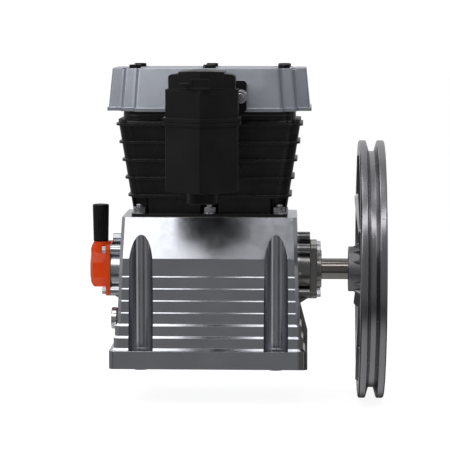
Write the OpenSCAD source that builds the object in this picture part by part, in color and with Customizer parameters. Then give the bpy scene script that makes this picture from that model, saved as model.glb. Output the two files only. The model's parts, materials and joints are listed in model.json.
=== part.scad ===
// Belt-driven twin-cylinder air compressor pump head.
// X runs along the crankshaft with the flywheel at +X, the air filter is at the front (-Y), Z is up.
// The origin is the centre of the four mounting bolts, on the underside of the crankcase.

/* [Crankcase] */
// How far the base plinth stands out beyond the end walls
base_out_x = 3; // [2:0.5:6]
// How far the base plinth stands out beyond the front and back walls
base_out_y = 5; // [4:0.5:8]
// Height of the base plinth
base_h = 20.5; // [16:0.5:24]
// Corner radius of the base plinth
base_corner_r = 6; // [3:1:10]
// Length of the crankcase top beyond each end of the block's foot
deck_edge_x = 10.5; // [8:0.5:12]
// Depth of the crankcase top in front of and behind the block's foot
deck_edge_y = 1.5; // [1:0.5:4]
// Height of the crankcase top face
case_top_z = 170.4; // [168:0.2:174]
// How far the slanted upper faces lean out
slant_out = 17; // [15:0.5:19]
// Height of the foot of the slanted upper faces
shoulder_z = 124.6; // [122:0.2:128]
// Height of the topmost wall step
step_top_z = 104; // [102:0.5:106]
// Distance between wall steps
step_pitch = 13.7; // [13:0.1:13.8]
// How far each upper wall step stands out
small_step = 1.2; // [0.8:0.1:1.4]
// How far each lower wall step stands out
large_step = 2.4; // [1.8:0.1:2.8]
// How far the end walls lean out from the top to the flare
side_draft = 4; // [2:0.5:5]
// How far each step of the end walls stands out
side_step = 2; // [1:0.25:2.5]
// How far the flats on the upright corners reach along each wall
corner_flat = 4; // [2:0.5:6]
// Thickness of the crankcase front and back walls
case_wall = 8; // [6:0.5:9]
// Thickness of the crankcase end walls at the cavity
end_wall = 14; // [12:0.5:15]
// Thickness of the crankcase top deck
deck_h = 12; // [11:0.5:14]
// Thickness of the crankcase floor
floor_h = 26; // [24:1:28]

/* [Mounting] */
// Distance of the mounting bolts from the ends of the base
mount_inset_x = 36; // [34:1:40]
// Distance of the mounting bolts from the front and back of the base
mount_inset_y = 13; // [11:0.5:15]
// Diameter of a mounting bolt hole
mount_hole_d = 11; // [9:0.5:12]
// Radius of the half-round channel over a mounting bolt
channel_r = 13.8; // [12:0.2:15]
// Radius of the round pad under a mounting bolt
foot_pad_r = 8.5; // [7:0.5:10]
// Height of the round pad under a mounting bolt
foot_pad_h = 1.6; // [1:0.1:2]

/* [Crank line] */
// Height of the crankshaft centre line
crank_z = 106; // [105:0.5:107]
// Crank throw, half of the piston stroke
crank_throw = 18; // [16:0.5:19]
// Distance between the two cylinders
bore_pitch = 84; // [80:1:88]
// Cylinder bore
bore_d = 70; // [66:1:72]
// Diameter of the crankpins
crankpin_d = 30; // [26:1:32]
// Bore of the flywheel end bearing
right_bearing_bore = 25; // [25:1:27]
// Outer diameter of the flywheel end bearing
right_bearing_od = 52; // [50:1:54]
// Width of the flywheel end bearing
right_bearing_w = 15; // [13:1:16]
// How much thinner the shaft is beyond the flywheel end bearing
shaft_step = 0.6; // [0.4:0.1:2]
// Bore of the far end bearing
left_bearing_bore = 20; // [18:1:21]
// Outer diameter of the far end bearing
left_bearing_od = 47; // [45:1:48]
// Width of the far end bearing
left_bearing_w = 14; // [12:1:15]
// Thickness of each crank web
web_w = 9; // [8:0.5:10]
// Radial running clearance of pins, rings and pistons
run_gap = 0.05; // [0.03:0.01:0.08]
// Clearance between pieces that don't run on each other
free_gap = 0.3; // [0.2:0.1:0.5]

/* [Connecting rods and pistons] */
// Distance between the two eyes of a connecting rod
rod_length = 136; // [134:0.5:138]
// Width of a connecting rod's big end
rod_w = 20; // [16:1:22]
// Wall of a big end around its crankpin
big_end_wall = 8; // [7:0.5:9]
// Diameter of the wrist pins
wrist_pin_d = 12; // [10:0.5:13]
// Wall of a small end around its wrist pin
small_end_wall = 4; // [3:0.5:5]
// Length of a wrist pin
wrist_pin_l = 46; // [40:1:48]
// Height of a piston
piston_h = 48; // [46:1:52]
// Distance from a wrist pin to the piston crown
pin_to_crown = 26; // [25:0.5:28]
// Distance from a piston crown at the top of its stroke to the block's upper face
crown_gap = 1; // [0.6:0.1:1.5]
// Thickness of a piston crown and skirt
piston_wall = 4; // [3:0.5:5]
// Height of a piston ring
ring_h = 2.4; // [2:0.2:3]

/* [End fittings] */
// Length of the bearing drums beyond the crankcase top
drum_l = 15.6; // [14:0.2:17]
// Wall of the bearing drums
drum_wall = 4; // [3.5:0.5:6]
// How far the bolts of the flywheel end cover lie outside its drum
right_bolt_out = 6.35; // [5.5:0.05:7.5]
// How far the bolts of the far end cover lie outside its drum
left_bolt_out = 6.2; // [5:0.1:7]
// Radius of the bolt bosses beside the drums
drum_lug_r = 5.9; // [5.2:0.1:6.2]
// Thickness of the end cover gaskets
end_gasket_t = 0.8; // [0.5:0.1:1.2]
// Thickness of the orange end cover flange
cover_flange_t = 4.6; // [4:0.2:6]
// Distance across the flats of the eight-sided end cover body
cover_flats = 42.5; // [39:0.5:44]
// How far the eight-sided body stands out from the flange
cover_body_l = 18; // [16:0.5:20]
// Diameter of the filler neck
neck_d = 23; // [22:0.5:24]
// Height of the filler neck's mouth above the crank line
neck_top = 31.5; // [30:0.5:33]
// Diameter of the breather plug's grip
breather_d = 19; // [18:0.5:20]
// Height of the breather plug's grip
breather_h = 43.3; // [40:0.5:46]
// How much thinner the grip is at its foot
breather_taper = 1.6; // [0.5:0.1:2.5]
// Number of flutes round the breather plug
breather_flutes = 18; // [12:1:24]
// Thickness of the flywheel end cover flange
seal_cover_t = 7.2; // [6:0.2:8]
// Radius of the seal housing on the flywheel end cover
seal_nose_r = 21.7; // [20:0.1:23]
// How far the seal housing stands out
seal_nose_l = 5.4; // [4:0.2:6]
// Outer diameter of the sight glass ring
sight_d = 25; // [22:0.5:27]
// Height of the sight glass centre
sight_z = 49.7; // [46:0.5:52]

/* [Cylinder block] */
// Thickness of the gasket under the block
block_gasket_t = 0.6; // [0.4:0.1:1]
// Wall between a cylinder and the nearer end of the block's foot
block_end_wall = 10.5; // [9:0.5:13]
// Wall between a cylinder and the front or back of the block's foot
block_side_wall = 8; // [7:0.5:10]
// How far the block flares at each end up to its top
block_flare_x = 18; // [14:0.5:20]
// How far the block flares at the front and back up to its top
block_flare_y = 11; // [8:0.5:13]
// Corner radius of the block
block_corner_r = 18; // [15:0.5:20]
// Number of cooling fins round the block
fin_count = 5; // [4:1:6]
// Distance from the block's upper face down to the topmost fin
top_fin_drop = 10.6; // [9:0.2:12]
// Distance from the block's lower face up to the lowest fin
low_fin_rise = 23.4; // [20:0.2:26]
// Thickness of a fin
fin_t = 2.6; // [2:0.2:3]
// How far a fin stands out of the wall
fin_out = 3.2; // [2.6:0.2:5]
// Thickness of the flange at the foot of the block
foot_flange_t = 3; // [2.4:0.2:5]
// Distance of the outer studs from the ends of the block's foot
stud_inset_x = 7.5; // [6:0.5:9]
// Distance of the studs from the front and back of the block's foot
stud_inset_y = 1; // [0:0.5:2]
// Diameter of the studs and bolts
stud_d = 8; // [7:0.5:8.5]

/* [Cylinder head] */
// Height of the cylinder head
head_h = 48.5; // [46:0.5:50]
// How far the head's outer panels reach beyond the block's ends
head_overhang_x = 10; // [8:0.5:12]
// How far the head's outer panels stand back from the block's front and back
head_setback_y = 10; // [8:0.5:12]
// Length of the step from the outer to the second panels
mid_step_x = 16.8; // [15:0.1:18]
// Depth of the step from the outer to the second panels
mid_step_y = 14; // [12:0.5:16]
// Length of the step from the second to the main panels
main_step_x = 15.7; // [14:0.1:18]
// Depth of the step from the second to the main panels
main_step_y = 12; // [10:0.5:13]
// How far the head's faces lean in from foot to top
head_draft = 4.8; // [3:0.2:6]
// Height of the lip round the foot of the head
head_lip_h = 4; // [3:0.2:5]
// How far the lip stands out
head_lip_out = 1.2; // [0.8:0.1:1.6]
// Distance of the head bolts from the ends of the valve plate
head_bolt_inset_x = 13.5; // [13:0.5:16]
// Distance of the head bolts from the front and back of the valve plate
head_bolt_inset_y = 14; // [13:0.5:15]
// Diameter of the round seats under the head bolts
spot_face_d = 28; // [24:0.5:29]
// Depth of the round seats under the head bolts
spot_face_depth = 1.5; // [1:0.1:2.5]
// Bore of the delivery port at the back
port_d = 21; // [18:0.5:22]
// Thickness of the valve plate
valve_plate_t = 4; // [3.6:0.1:4.2]

/* [Air filter] */
// Distance of the filter's centre from the middle of the head, towards the far end
filter_off_x = 3.5; // [2:0.5:5]
// Gap between the intake flange and the filter's rear ridge
filter_stand_off = 0.5; // [0.3:0.1:3]
// Half width of the filter
filter_half_x = 39.7; // [38:0.1:41]
// Half length of the filter's flat sides
filter_side_half_y = 18; // [16:0.5:20]
// Distance from the filter's centre to its front ridge
filter_ridge_y = 55; // [53:0.5:57]
// How far the filter hangs below the head's lower face
filter_drop = 84; // [80:0.5:88]
// Distance from the middle band's lower edge up to the head's lower face
band_drop = 12; // [10:0.5:14]
// Height of the middle band
band_h = 9; // [8:0.5:10]
// How far the middle band stands out
band_out = 2.8; // [2:0.2:3.4]
// Height of the filter body's upper edge above the head's lower face
filter_rise = 28; // [26:0.5:30]
// Height of the lid
lid_h = 20; // [18:0.5:22]
// Wall of the filter shells
filter_wall = 2.4; // [2:0.1:3]
// Outer diameter of the spigot below the filter
spigot_d = 34.6; // [32:0.2:36]
// Length of the spigot below the filter
spigot_l = 14.5; // [12:0.5:16]
// Half width of the intake flange
flange_half_x = 43.5; // [42:0.5:45]
// How far the intake flange reaches below the head's lower face
flange_drop = 0.2; // [0:0.1:0.5]
// Height of the intake flange
flange_h = 35.6; // [34:0.2:37]
// Thickness of the intake flange
flange_t = 6; // [5:0.5:7]
// Distance of the intake flange bolts from its ends
flange_bolt_inset = 6.7; // [6:0.1:8]
// Inner diameter of the intake passage
intake_d = 22; // [20:0.5:24]

/* [Flywheel] */
// Outer diameter of the flywheel
wheel_d = 300; // [280:5:310]
// Length of bare shaft between the seal cover and the hub
shaft_show = 31; // [28:0.5:34]
// Distance from the hub's near face to the wheel's near face
wheel_setback = 11.3; // [10:0.1:13]
// Width of the flywheel's rim
wheel_w = 29.5; // [26:0.5:32]
// Width of the belt groove at its mouth
groove_w = 13; // [12:0.5:14]
// Width of the belt groove at its bottom
groove_floor_w = 6; // [5:0.5:7]
// Depth of the belt groove
groove_depth = 12.5; // [11:0.5:13]
// Thickness of the rim under the groove
rim_t = 7; // [6:0.5:9]
// Outer diameter of the hub
hub_d = 52.4; // [48:0.2:56]
// Length of the hub
hub_l = 29; // [26:0.5:30]
// Number of fan-blade spokes
blade_count = 6; // [5:1:8]
// Width of a fan blade
blade_w = 40; // [34:1:44]
// Thickness of a fan blade
blade_t = 7; // [5:0.5:9]
// Tilt of a blade at the hub
blade_tilt = 62; // [55:1:68]
// Twist of a blade from hub to rim
blade_twist = 22; // [10:1:26]

/* [Hidden] */
$fn = 64;

// One overrun for every cut
over = 1;
// Thickness of a sheet that only sets an outline
sliver = 0.01;
casting = "#8f949c";
gloss_casting = "#a9aeb6";
black_paint = "#1b1b1d";
black_plastic = "#232325";
orange_paint = "#e64b00";
machined = "#c4c7cb";
zinc = "#b9bdc2";
gasket_paper = "#cfc8b4";

function mirrored(points) =
  concat(points, [for (i = [len(points) - 1:-1:0]) [-points[i][0], points[i][1]]]);

// Fasteners
nut_flats = 13;
nut_h = 6.5;
head_bolt_flats = 13;
head_bolt_h = 5.5;
washer_d = 16;
washer_t = 1.5;
small_bolt_flats = 8;
small_bolt_h = 4.4;
small_bolt_d = 5;
thread_gap = 0.1;
flat_share = 2 / sqrt(3);

// Outline of the block, worked out from its cylinders
block_foot_half_x = bore_pitch / 2 + bore_d / 2 + block_end_wall;
block_foot_half_y = bore_d / 2 + block_side_wall;
block_head_half_x = block_foot_half_x + block_flare_x;
block_head_half_y = block_foot_half_y + block_flare_y;
stud_pitch = block_foot_half_x - stud_inset_x;
stud_off = block_foot_half_y - stud_inset_y;
foot_lip = 2;
washer_overhang = 0.5;
foot_half_x = block_foot_half_x + foot_lip;
foot_half_y = stud_off + washer_d / 2 - washer_overhang;

// Outline of the crankcase, worked out from the block's foot
case_top_half_x = foot_half_x + deck_edge_x;
case_top_half_y = foot_half_y + deck_edge_y;
shoulder_half_y = case_top_half_y + slant_out;

// Wall steps of the crankcase, counted from the top
small_steps = 4;
large_steps = 3;
step_count = small_steps + large_steps;
function step_z(i) = step_top_z - i * step_pitch;
function step_size(i) = i < small_steps ? small_step : large_step;
function steps_above(i) = i == 0 ? 0 : steps_above(i - 1) + step_size(i - 1);
case_front_points = concat(
  [[case_top_half_y, case_top_z], [shoulder_half_y, shoulder_z]],
  [for (i = [0:step_count - 1])
    each [
      [shoulder_half_y + steps_above(i), step_z(i) + step_size(i) / 2],
      [shoulder_half_y + steps_above(i + 1), step_z(i) - step_size(i) / 2]
    ]],
  [[shoulder_half_y + steps_above(step_count), 0]]
);
case_flare_x = case_top_half_x + side_draft;
base_half_x = case_flare_x + large_steps * side_step + base_out_x;
base_half_y = shoulder_half_y + steps_above(step_count) + base_out_y;
mount_dx = 2 * (base_half_x - mount_inset_x);
mount_dy = 2 * (base_half_y - mount_inset_y);
case_end_points = concat(
  [[case_top_half_x, case_top_z]],
  [for (i = [0:large_steps - 1])
    each [
      [case_flare_x + i * side_step, step_z(small_steps + i) + large_step / 2],
      [case_flare_x + (i + 1) * side_step, step_z(small_steps + i) - large_step / 2]
    ]],
  [[case_flare_x + large_steps * side_step, 0]]
);

// Flats on the upright corners, measured along both walls
function case_end_x(z) = case_top_half_x
  + side_draft * (case_top_z - z) / (case_top_z - step_z(small_steps) - large_step / 2);
function corner_reach(x, y) = (x + y - corner_flat) / sqrt(2);
function end_steps(i) = max(0, i - small_steps) * side_step;
case_corner_points = concat(
  [
    [corner_reach(case_top_half_x, case_top_half_y), case_top_z],
    [corner_reach(case_end_x(shoulder_z), shoulder_half_y), shoulder_z]
  ],
  [for (i = [0:step_count - 1])
    each [
      [corner_reach(min(case_end_x(step_z(i)), case_flare_x) + end_steps(i),
        shoulder_half_y + steps_above(i)), step_z(i) + step_size(i) / 2],
      [corner_reach(min(case_end_x(step_z(i)), case_flare_x) + end_steps(i + 1),
        shoulder_half_y + steps_above(i + 1)), step_z(i) - step_size(i) / 2]
    ]],
  [[corner_reach(case_flare_x + end_steps(step_count), shoulder_half_y + steps_above(step_count)), 0]]
);

// Inside of the crankcase
cavity_half_x = case_top_half_x + side_draft / 2 - end_wall;
cavity_top_z = case_top_z - deck_h;
cavity_points = [
  [case_top_half_y - case_wall - small_step, cavity_top_z],
  [shoulder_half_y - case_wall, shoulder_z],
  [shoulder_half_y - case_wall, floor_h]
];
throat_r = bore_d / 2 + 1.5 * small_step;
channel_wall = 5;

// Bearing drums and the places along the crankshaft
drum_x = case_top_half_x + drum_l;
right_drum_r = right_bearing_od / 2 + drum_wall;
left_drum_r = left_bearing_od / 2 + drum_wall;
right_bolt_off = (right_drum_r + right_bolt_out) / sqrt(2);
left_bolt_off = (left_drum_r + left_bolt_out) / sqrt(2);
shaft_d = right_bearing_bore - shaft_step;
left_face_x = -drum_x;
right_face_x = drum_x;
left_bearing_x = -cavity_half_x - left_bearing_w;
right_bearing_x = cavity_half_x;
cover_face_x = left_face_x - end_gasket_t;
cover_outer_x = cover_face_x - cover_flange_t;
seal_face_x = right_face_x + end_gasket_t;
seal_outer_x = seal_face_x + seal_cover_t;
spigot_depth = 5;

// Crank shape
pin_r = crankpin_d / 2;
web_r = pin_r + crank_throw + 5 * free_gap + side_step;
pin_gap_x = rod_w + 2 * free_gap;
left_journal_shoulder = cavity_half_x - 3 * free_gap;
function throw_of(side) = side < 0 ? crank_throw : -crank_throw;
function cylinder_x(side) = side * bore_pitch / 2;
plug_r = 4;
plug_l = web_w - 3;

// Heights of the stack above the crankcase
gasket_t = 0.5;
block_z = case_top_z + block_gasket_t;
block_top_z = crank_z + crank_throw + rod_length + pin_to_crown + crown_gap;
fin_top_z = block_top_z - top_fin_drop;
fin_pitch = (fin_top_z - block_z - low_fin_rise) / (fin_count - 1);
valve_plate_z = block_top_z + gasket_t;
valve_plate_top = valve_plate_z + valve_plate_t;
head_z = valve_plate_top + gasket_t;
head_top_z = head_z + head_h;

// Outline of the head, worked out from the block's top
head_outer_half_x = block_head_half_x + head_overhang_x;
head_outer_half_y = block_head_half_y - head_setback_y;
head_mid_half_x = head_outer_half_x - mid_step_x;
head_mid_half_y = head_outer_half_y + mid_step_y;
head_main_half_x = head_mid_half_x - main_step_x;
head_main_half_y = head_mid_half_y + main_step_y;
head_scale = [1 - head_draft / head_outer_half_x, 1 - head_draft / head_main_half_y];
head_slices = 1;
stack_inset_x = 7;
stack_inset_y = 1;
block_stack_half_x = block_head_half_x - stack_inset_x;
block_stack_half_y = block_head_half_y - stack_inset_y;
head_bolt_pitch = block_stack_half_x - head_bolt_inset_x;
head_bolt_off = block_stack_half_y - head_bolt_inset_y;
piston_r = bore_d / 2 - run_gap;
reed_t = 0.5;
reed_w = 14;
reed_l = 44;
valve_port_r = 4.5;
valve_port_off = 13;

stud_depth = deck_h - 1.5 * small_step;

// Filter
filter_x = -filter_off_x;
filter_y = head_main_half_y + gasket_t + flange_t + filter_stand_off + filter_ridge_y;
filter_z = head_z - filter_drop;
band_z = head_z - band_drop;
filter_top_z = head_z + filter_rise;
shell_split_z = band_z + band_h / 2;
lid_half_x = filter_half_x - filter_wall - free_gap;
element_room = 7.3;
element_r = filter_half_x - filter_wall - element_room;
flange_z = head_z - flange_drop;
flange_top_z = flange_z + flange_h;
flange_bolt_off = flange_half_x - flange_bolt_inset;

// Flywheel
hub_x = seal_outer_x + seal_nose_l + shaft_show;
wheel_x = hub_x + wheel_setback;
wheel_r = wheel_d / 2;
rim_inner_r = wheel_r - groove_depth - rim_t;
wheel_mid_x = wheel_x + wheel_w / 2;
hub_end_x = hub_x + hub_l;
shaft_end_x = hub_end_x - 2 * free_gap;
key_w = 6;
key_h = 6;
key_l = 22;

module along_x(x = 0, z = 0, y = 0) {
  translate([x, y, z]) rotate([0, 90, 0]) children();
}

module along_y(x = 0, z = 0, y = 0) {
  translate([x, y, z]) rotate([-90, 0, 0]) children();
}

// A round bar or disc along X from x0 to x1
module bar_x(x0, x1, r, y = 0, z = crank_z) {
  along_x(x0, z, y) cylinder(h = x1 - x0, r = r);
}

module ring_x(x0, x1, r_out, r_in, y = 0, z = crank_z) {
  difference() {
    bar_x(x0, x1, r_out, y, z);
    bar_x(x0 - over, x1 + over, r_in, y, z);
  }
}

module round_rect(hx, hy, r) {
  square([2 * hx, 2 * (hy - r)], center = true);
  square([2 * (hx - r), 2 * hy], center = true);
  for (sx = [-1, 1], sy = [-1, 1])
    translate([sx * (hx - r), sy * (hy - r)]) circle(r = r);
}

module plate(hx, hy, r, z, h) {
  translate([0, 0, z]) linear_extrude(h) round_rect(hx, hy, r);
}

module hex_bar(flats, h) {
  cylinder(h = h, r = flats * flat_share / 2, $fn = 6);
}

module stud_places() {
  for (i = [-1:1], s = [-1, 1]) translate([i * stud_pitch, s * stud_off, 0]) children();
}

module head_bolt_places() {
  for (i = [-1:1], s = [-1, 1])
    translate([i * head_bolt_pitch, s * head_bolt_off, 0]) children();
}

module bore_places() {
  for (s = [-1, 1]) translate([cylinder_x(s), 0, 0]) children();
}

module mount_places() {
  for (sx = [-1, 1], sy = [-1, 1])
    translate([sx * mount_dx / 2, sy * mount_dy / 2, 0]) scale([1, sy, 1]) children();
}

// Four places round the crank line, turned so that children stand along X
module around_crank(off) {
  for (sy = [-1, 1], sz = [-1, 1]) translate([0, sy * off, crank_z + sz * off]) children();
}

// Crankcase casting
module case_shell() {
  intersection() {
    rotate([90, 0, 90])
      linear_extrude(2 * base_half_x, center = true) polygon(mirrored(case_front_points));
    rotate([90, 0, 0])
      linear_extrude(2 * base_half_y, center = true) polygon(mirrored(case_end_points));
    rotate([90, 0, 45])
      linear_extrude(2 * base_half_x + 2 * base_half_y, center = true) polygon(mirrored(case_corner_points));
    rotate([90, 0, -45])
      linear_extrude(2 * base_half_x + 2 * base_half_y, center = true) polygon(mirrored(case_corner_points));
  }
  plate(base_half_x, base_half_y, base_corner_r, 0, base_h);
  mount_places() translate([0, 0, -foot_pad_h]) cylinder(h = foot_pad_h + over, r = foot_pad_r);
}

module bolt_channel() {
  translate([0, 0, base_h]) cylinder(h = case_top_z, r = channel_r);
  translate([-channel_r, 0, base_h]) cube([2 * channel_r, base_half_y, case_top_z]);
}

module case_cavity() {
  difference() {
    rotate([90, 0, 90])
      linear_extrude(2 * cavity_half_x, center = true) polygon(mirrored(cavity_points));
    mount_places() translate([0, 0, floor_h - over])
      cylinder(h = case_top_z, r = channel_r + channel_wall);
  }
}

gusset_half_t = 4;
gusset_foot_x = base_half_x - thread_gap;
module end_drum(side, r, bolt_off) {
  x0 = case_top_half_x - over;
  mirror([side < 0 ? 1 : 0, 0, 0]) {
    bar_x(x0, drum_x, r);
    around_crank(bolt_off) along_x(x0) cylinder(h = drum_x - x0, r = drum_lug_r);
    // Casting lug above and behind the drum
    bar_x(x0, drum_x, drum_lug_r, y = r / 2, z = crank_z + r + drum_lug_r);
    // Small tapered nub on the front of the drum
    along_x(x0, crank_z - drum_lug_r / 2, -r)
      cylinder(h = drum_lug_r + over, r1 = drum_lug_r / 2, r2 = drum_lug_r / 4);
    // Gusset from the drum down to the base
    rotate([90, 0, 0]) linear_extrude(2 * gusset_half_t, center = true) polygon([
      [x0, crank_z - r / 2], [drum_x, crank_z - r / 2], [drum_x, crank_z - r - drum_lug_r / 2],
      [case_flare_x + side_step / 4, crank_z - r - 1.7 * drum_lug_r],
      [gusset_foot_x, step_z(step_count - 2) - large_step / 2],
      [gusset_foot_x, base_h - over], [x0, base_h - over]
    ]);
  }
}

sight_y = -20;
sight_boss_x = case_flare_x + side_step;
sight_body_r = sight_d / 2 - 4;
drain_r = 7;
drain_z = floor_h + drain_r + 2 * large_step;
module crankcase() color(gloss_casting) difference() {
  union() {
    case_shell();
    end_drum(1, right_drum_r, right_bolt_off);
    end_drum(-1, left_drum_r, left_bolt_off);
    bar_x(-sight_boss_x, -case_top_half_x, sight_d / 2, y = sight_y, z = sight_z);
  }
  case_cavity();
  mount_places() bolt_channel();
  mount_places() translate([0, 0, -foot_pad_h - over])
    cylinder(h = base_h + foot_pad_h + 2 * over, r = mount_hole_d / 2);
  bore_places() translate([0, 0, cavity_top_z - over]) cylinder(h = deck_h + 2 * over, r = throat_r);
  stud_places() translate([0, 0, case_top_z - stud_depth])
    cylinder(h = stud_depth + over, r = stud_d / 2 + thread_gap);
  bar_x(cavity_half_x - over, drum_x + over, right_bearing_od / 2);
  bar_x(-drum_x - over, -cavity_half_x + over, left_bearing_od / 2);
  bar_x(-sight_boss_x - over, -cavity_half_x + over, sight_body_r, y = sight_y, z = sight_z);
  along_y(z = drain_z, y = shoulder_half_y - case_wall - over) cylinder(h = base_half_y, r = drain_r);
  around_crank(right_bolt_off) along_x(drum_x - spigot_depth * 2)
    cylinder(h = drum_x, r = small_bolt_d / 2 + thread_gap);
  around_crank(left_bolt_off) along_x(-drum_x - over)
    cylinder(h = spigot_depth * 2 + over, r = small_bolt_d / 2 + thread_gap);
}

// Oil level glass on the far end
sight_flange_t = 8.8;
sight_seal_t = 2.5;
sight_seal_in = 1.5;
module oil_sight_ring() color("silver") {
  x = -sight_boss_x;
  difference() {
    union() {
      bar_x(x - sight_flange_t, x - sight_seal_t, sight_d / 2, y = sight_y, z = sight_z);
      bar_x(x - sight_seal_t - sliver, x, sight_d / 2 - sight_seal_in, y = sight_y, z = sight_z);
      bar_x(x - sliver, -cavity_half_x, sight_body_r - thread_gap, y = sight_y, z = sight_z);
    }
    bar_x(x - sight_flange_t - over, -cavity_half_x + over, sight_body_r - 2, y = sight_y, z = sight_z);
    bar_x(x - sight_flange_t - over, x - sight_flange_t / 2, sight_body_r, y = sight_y, z = sight_z);
  }
}

module oil_sight_lens() color("tan") {
  x = -sight_boss_x - sight_flange_t / 2;
  bar_x(x - sight_flange_t / 4, x, sight_body_r, y = sight_y, z = sight_z);
}

drain_head_flats = 17;
drain_head_h = 6;
drain_face_y = shoulder_half_y + steps_above(step_count - 1);
module oil_drain_plug() color(zinc) {
  along_y(z = drain_z, y = shoulder_half_y - case_wall) cylinder(
    h = drain_face_y - shoulder_half_y + case_wall + sliver, r = drain_r - thread_gap);
  along_y(z = drain_z, y = drain_face_y) hex_bar(drain_head_flats, drain_head_h);
}

// Flat shapes that share the block's foot and the block's top outline
module foot_cuts(z, h) {
  bore_places() translate([0, 0, z - over]) cylinder(h = h + 2 * over, r = throat_r);
  stud_places() translate([0, 0, z - over])
    cylinder(h = h + 2 * over, r = stud_d / 2 + 2 * thread_gap);
}

module block_gasket() color(gasket_paper) difference() {
  plate(foot_half_x, foot_half_y, nut_flats / 2, case_top_z, block_z - case_top_z);
  foot_cuts(case_top_z, block_z - case_top_z);
}

block_wall_top = block_top_z - 5;
function wall_share(z) = (z - block_z) / (block_top_z - block_z);
function wall_x(z) = block_foot_half_x + wall_share(z) * (block_head_half_x - block_foot_half_x);
function wall_y(z) = block_foot_half_y + wall_share(z) * (block_head_half_y - block_foot_half_y);
function fin_z(i) = fin_top_z - i * fin_pitch;
nut_pocket_r = 10.5;
tap_depth = 22;
module cylinder_block() color(black_paint) difference() {
  union() {
    difference() {
      hull() {
        plate(block_foot_half_x, block_foot_half_y, block_corner_r, block_z, foot_flange_t);
        plate(wall_x(block_wall_top), wall_y(block_wall_top), block_corner_r, block_wall_top, sliver);
      }
      stud_places() translate([0, 0, block_z + foot_flange_t])
        cylinder(h = fin_z(fin_count - 1) - fin_t - block_z - foot_flange_t, r = nut_pocket_r);
    }
    for (i = [0:fin_count - 1])
      plate(wall_x(fin_z(i)) + fin_out, wall_y(fin_z(i)) + fin_out, block_corner_r + fin_out,
        fin_z(i) - fin_t / 2, fin_t);
    plate(foot_half_x, foot_half_y, nut_flats / 2, block_z, foot_flange_t);
    plate(block_stack_half_x, block_stack_half_y, block_corner_r, block_wall_top, block_top_z - block_wall_top);
  }
  bore_places() translate([0, 0, block_z - over])
    cylinder(h = block_top_z - block_z + 2 * over, r = bore_d / 2);
  stud_places() translate([0, 0, block_z - over])
    cylinder(h = foot_flange_t + 2 * over, r = stud_d / 2 + 2 * thread_gap);
  head_bolt_places() translate([0, 0, block_top_z - tap_depth])
    cylinder(h = tap_depth + over, r = stud_d / 2 + thread_gap);
}

nut_seat_z = block_z + foot_flange_t;
stud_tip = 3;
module block_studs() color(zinc) stud_places() translate([0, 0, case_top_z - stud_depth])
  cylinder(h = stud_depth + nut_seat_z - case_top_z + washer_t + nut_h + stud_tip, r = stud_d / 2);

module block_washers() color(zinc) stud_places() translate([0, 0, nut_seat_z]) difference() {
  cylinder(h = washer_t, r = washer_d / 2);
  translate([0, 0, -over]) cylinder(h = washer_t + 2 * over, r = stud_d / 2 + thread_gap);
}

module block_nuts() color(zinc) stud_places() translate([0, 0, nut_seat_z + washer_t]) difference() {
  hex_bar(nut_flats, nut_h);
  translate([0, 0, -over]) cylinder(h = nut_h + 2 * over, r = stud_d / 2);
}

module stack_bolt_holes(z, h) {
  head_bolt_places() translate([0, 0, z - over])
    cylinder(h = h + 2 * over, r = stud_d / 2 + 2 * thread_gap);
}

module valve_gasket() color(gasket_paper) difference() {
  plate(block_stack_half_x, block_stack_half_y, block_corner_r, block_top_z, gasket_t);
  bore_places() translate([0, 0, block_top_z - over])
    cylinder(h = gasket_t + 2 * over, r = throat_r);
  stack_bolt_holes(block_top_z, gasket_t);
}

module valve_plate() color("dimgray") difference() {
  plate(block_stack_half_x, block_stack_half_y, block_corner_r, valve_plate_z, valve_plate_t);
  bore_places() for (s = [-1, 1]) translate([0, s * valve_port_off, valve_plate_z - over])
    cylinder(h = valve_plate_t + 2 * over, r = valve_port_r);
  bore_places() translate([-reed_l / 2, -valve_port_off - reed_w / 2 - free_gap, valve_plate_z - over])
    cube([reed_l, reed_w + 2 * free_gap, over + reed_t]);
  stack_bolt_holes(valve_plate_z, valve_plate_t);
}

module reed(z) {
  translate([-reed_l / 2 + free_gap, -reed_w / 2, z]) cube([reed_l - 2 * free_gap, reed_w, reed_t]);
}

module suction_reeds() color("lightsteelblue")
  bore_places() translate([0, -valve_port_off, 0]) reed(valve_plate_z);

module delivery_reeds() color("lightsteelblue")
  bore_places() translate([0, valve_port_off, 0]) reed(valve_plate_top);

// The two chambers of the head, with round columns left for the middle bolts
chamber_end_wall = 13;
chamber_side_wall = 10;
chamber_roof = 8;
chamber_rib = 5;
chamber_half_x = head_main_half_x - chamber_end_wall;
chamber_out_y = head_main_half_y - chamber_side_wall;
chamber_h = head_h - chamber_roof;
column_r = 9;
module chamber_plan(side) {
  difference() {
    translate([0, side * (chamber_out_y + chamber_rib) / 2])
      round_rect(chamber_half_x, (chamber_out_y - chamber_rib) / 2, chamber_rib);
    translate([0, side * head_bolt_off]) circle(r = column_r);
  }
}

module head_gasket() color(gasket_paper) difference() {
  plate(block_stack_half_x, block_stack_half_y, block_corner_r, valve_plate_top, head_z - valve_plate_top);
  for (s = [-1, 1]) translate([0, s * (head_bolt_off - column_r) / 2, valve_plate_top - over])
    linear_extrude(gasket_t + 2 * over)
      round_rect(chamber_half_x, (head_bolt_off - column_r) / 2 - chamber_rib, chamber_rib);
  stack_bolt_holes(valve_plate_top, gasket_t);
}

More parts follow.
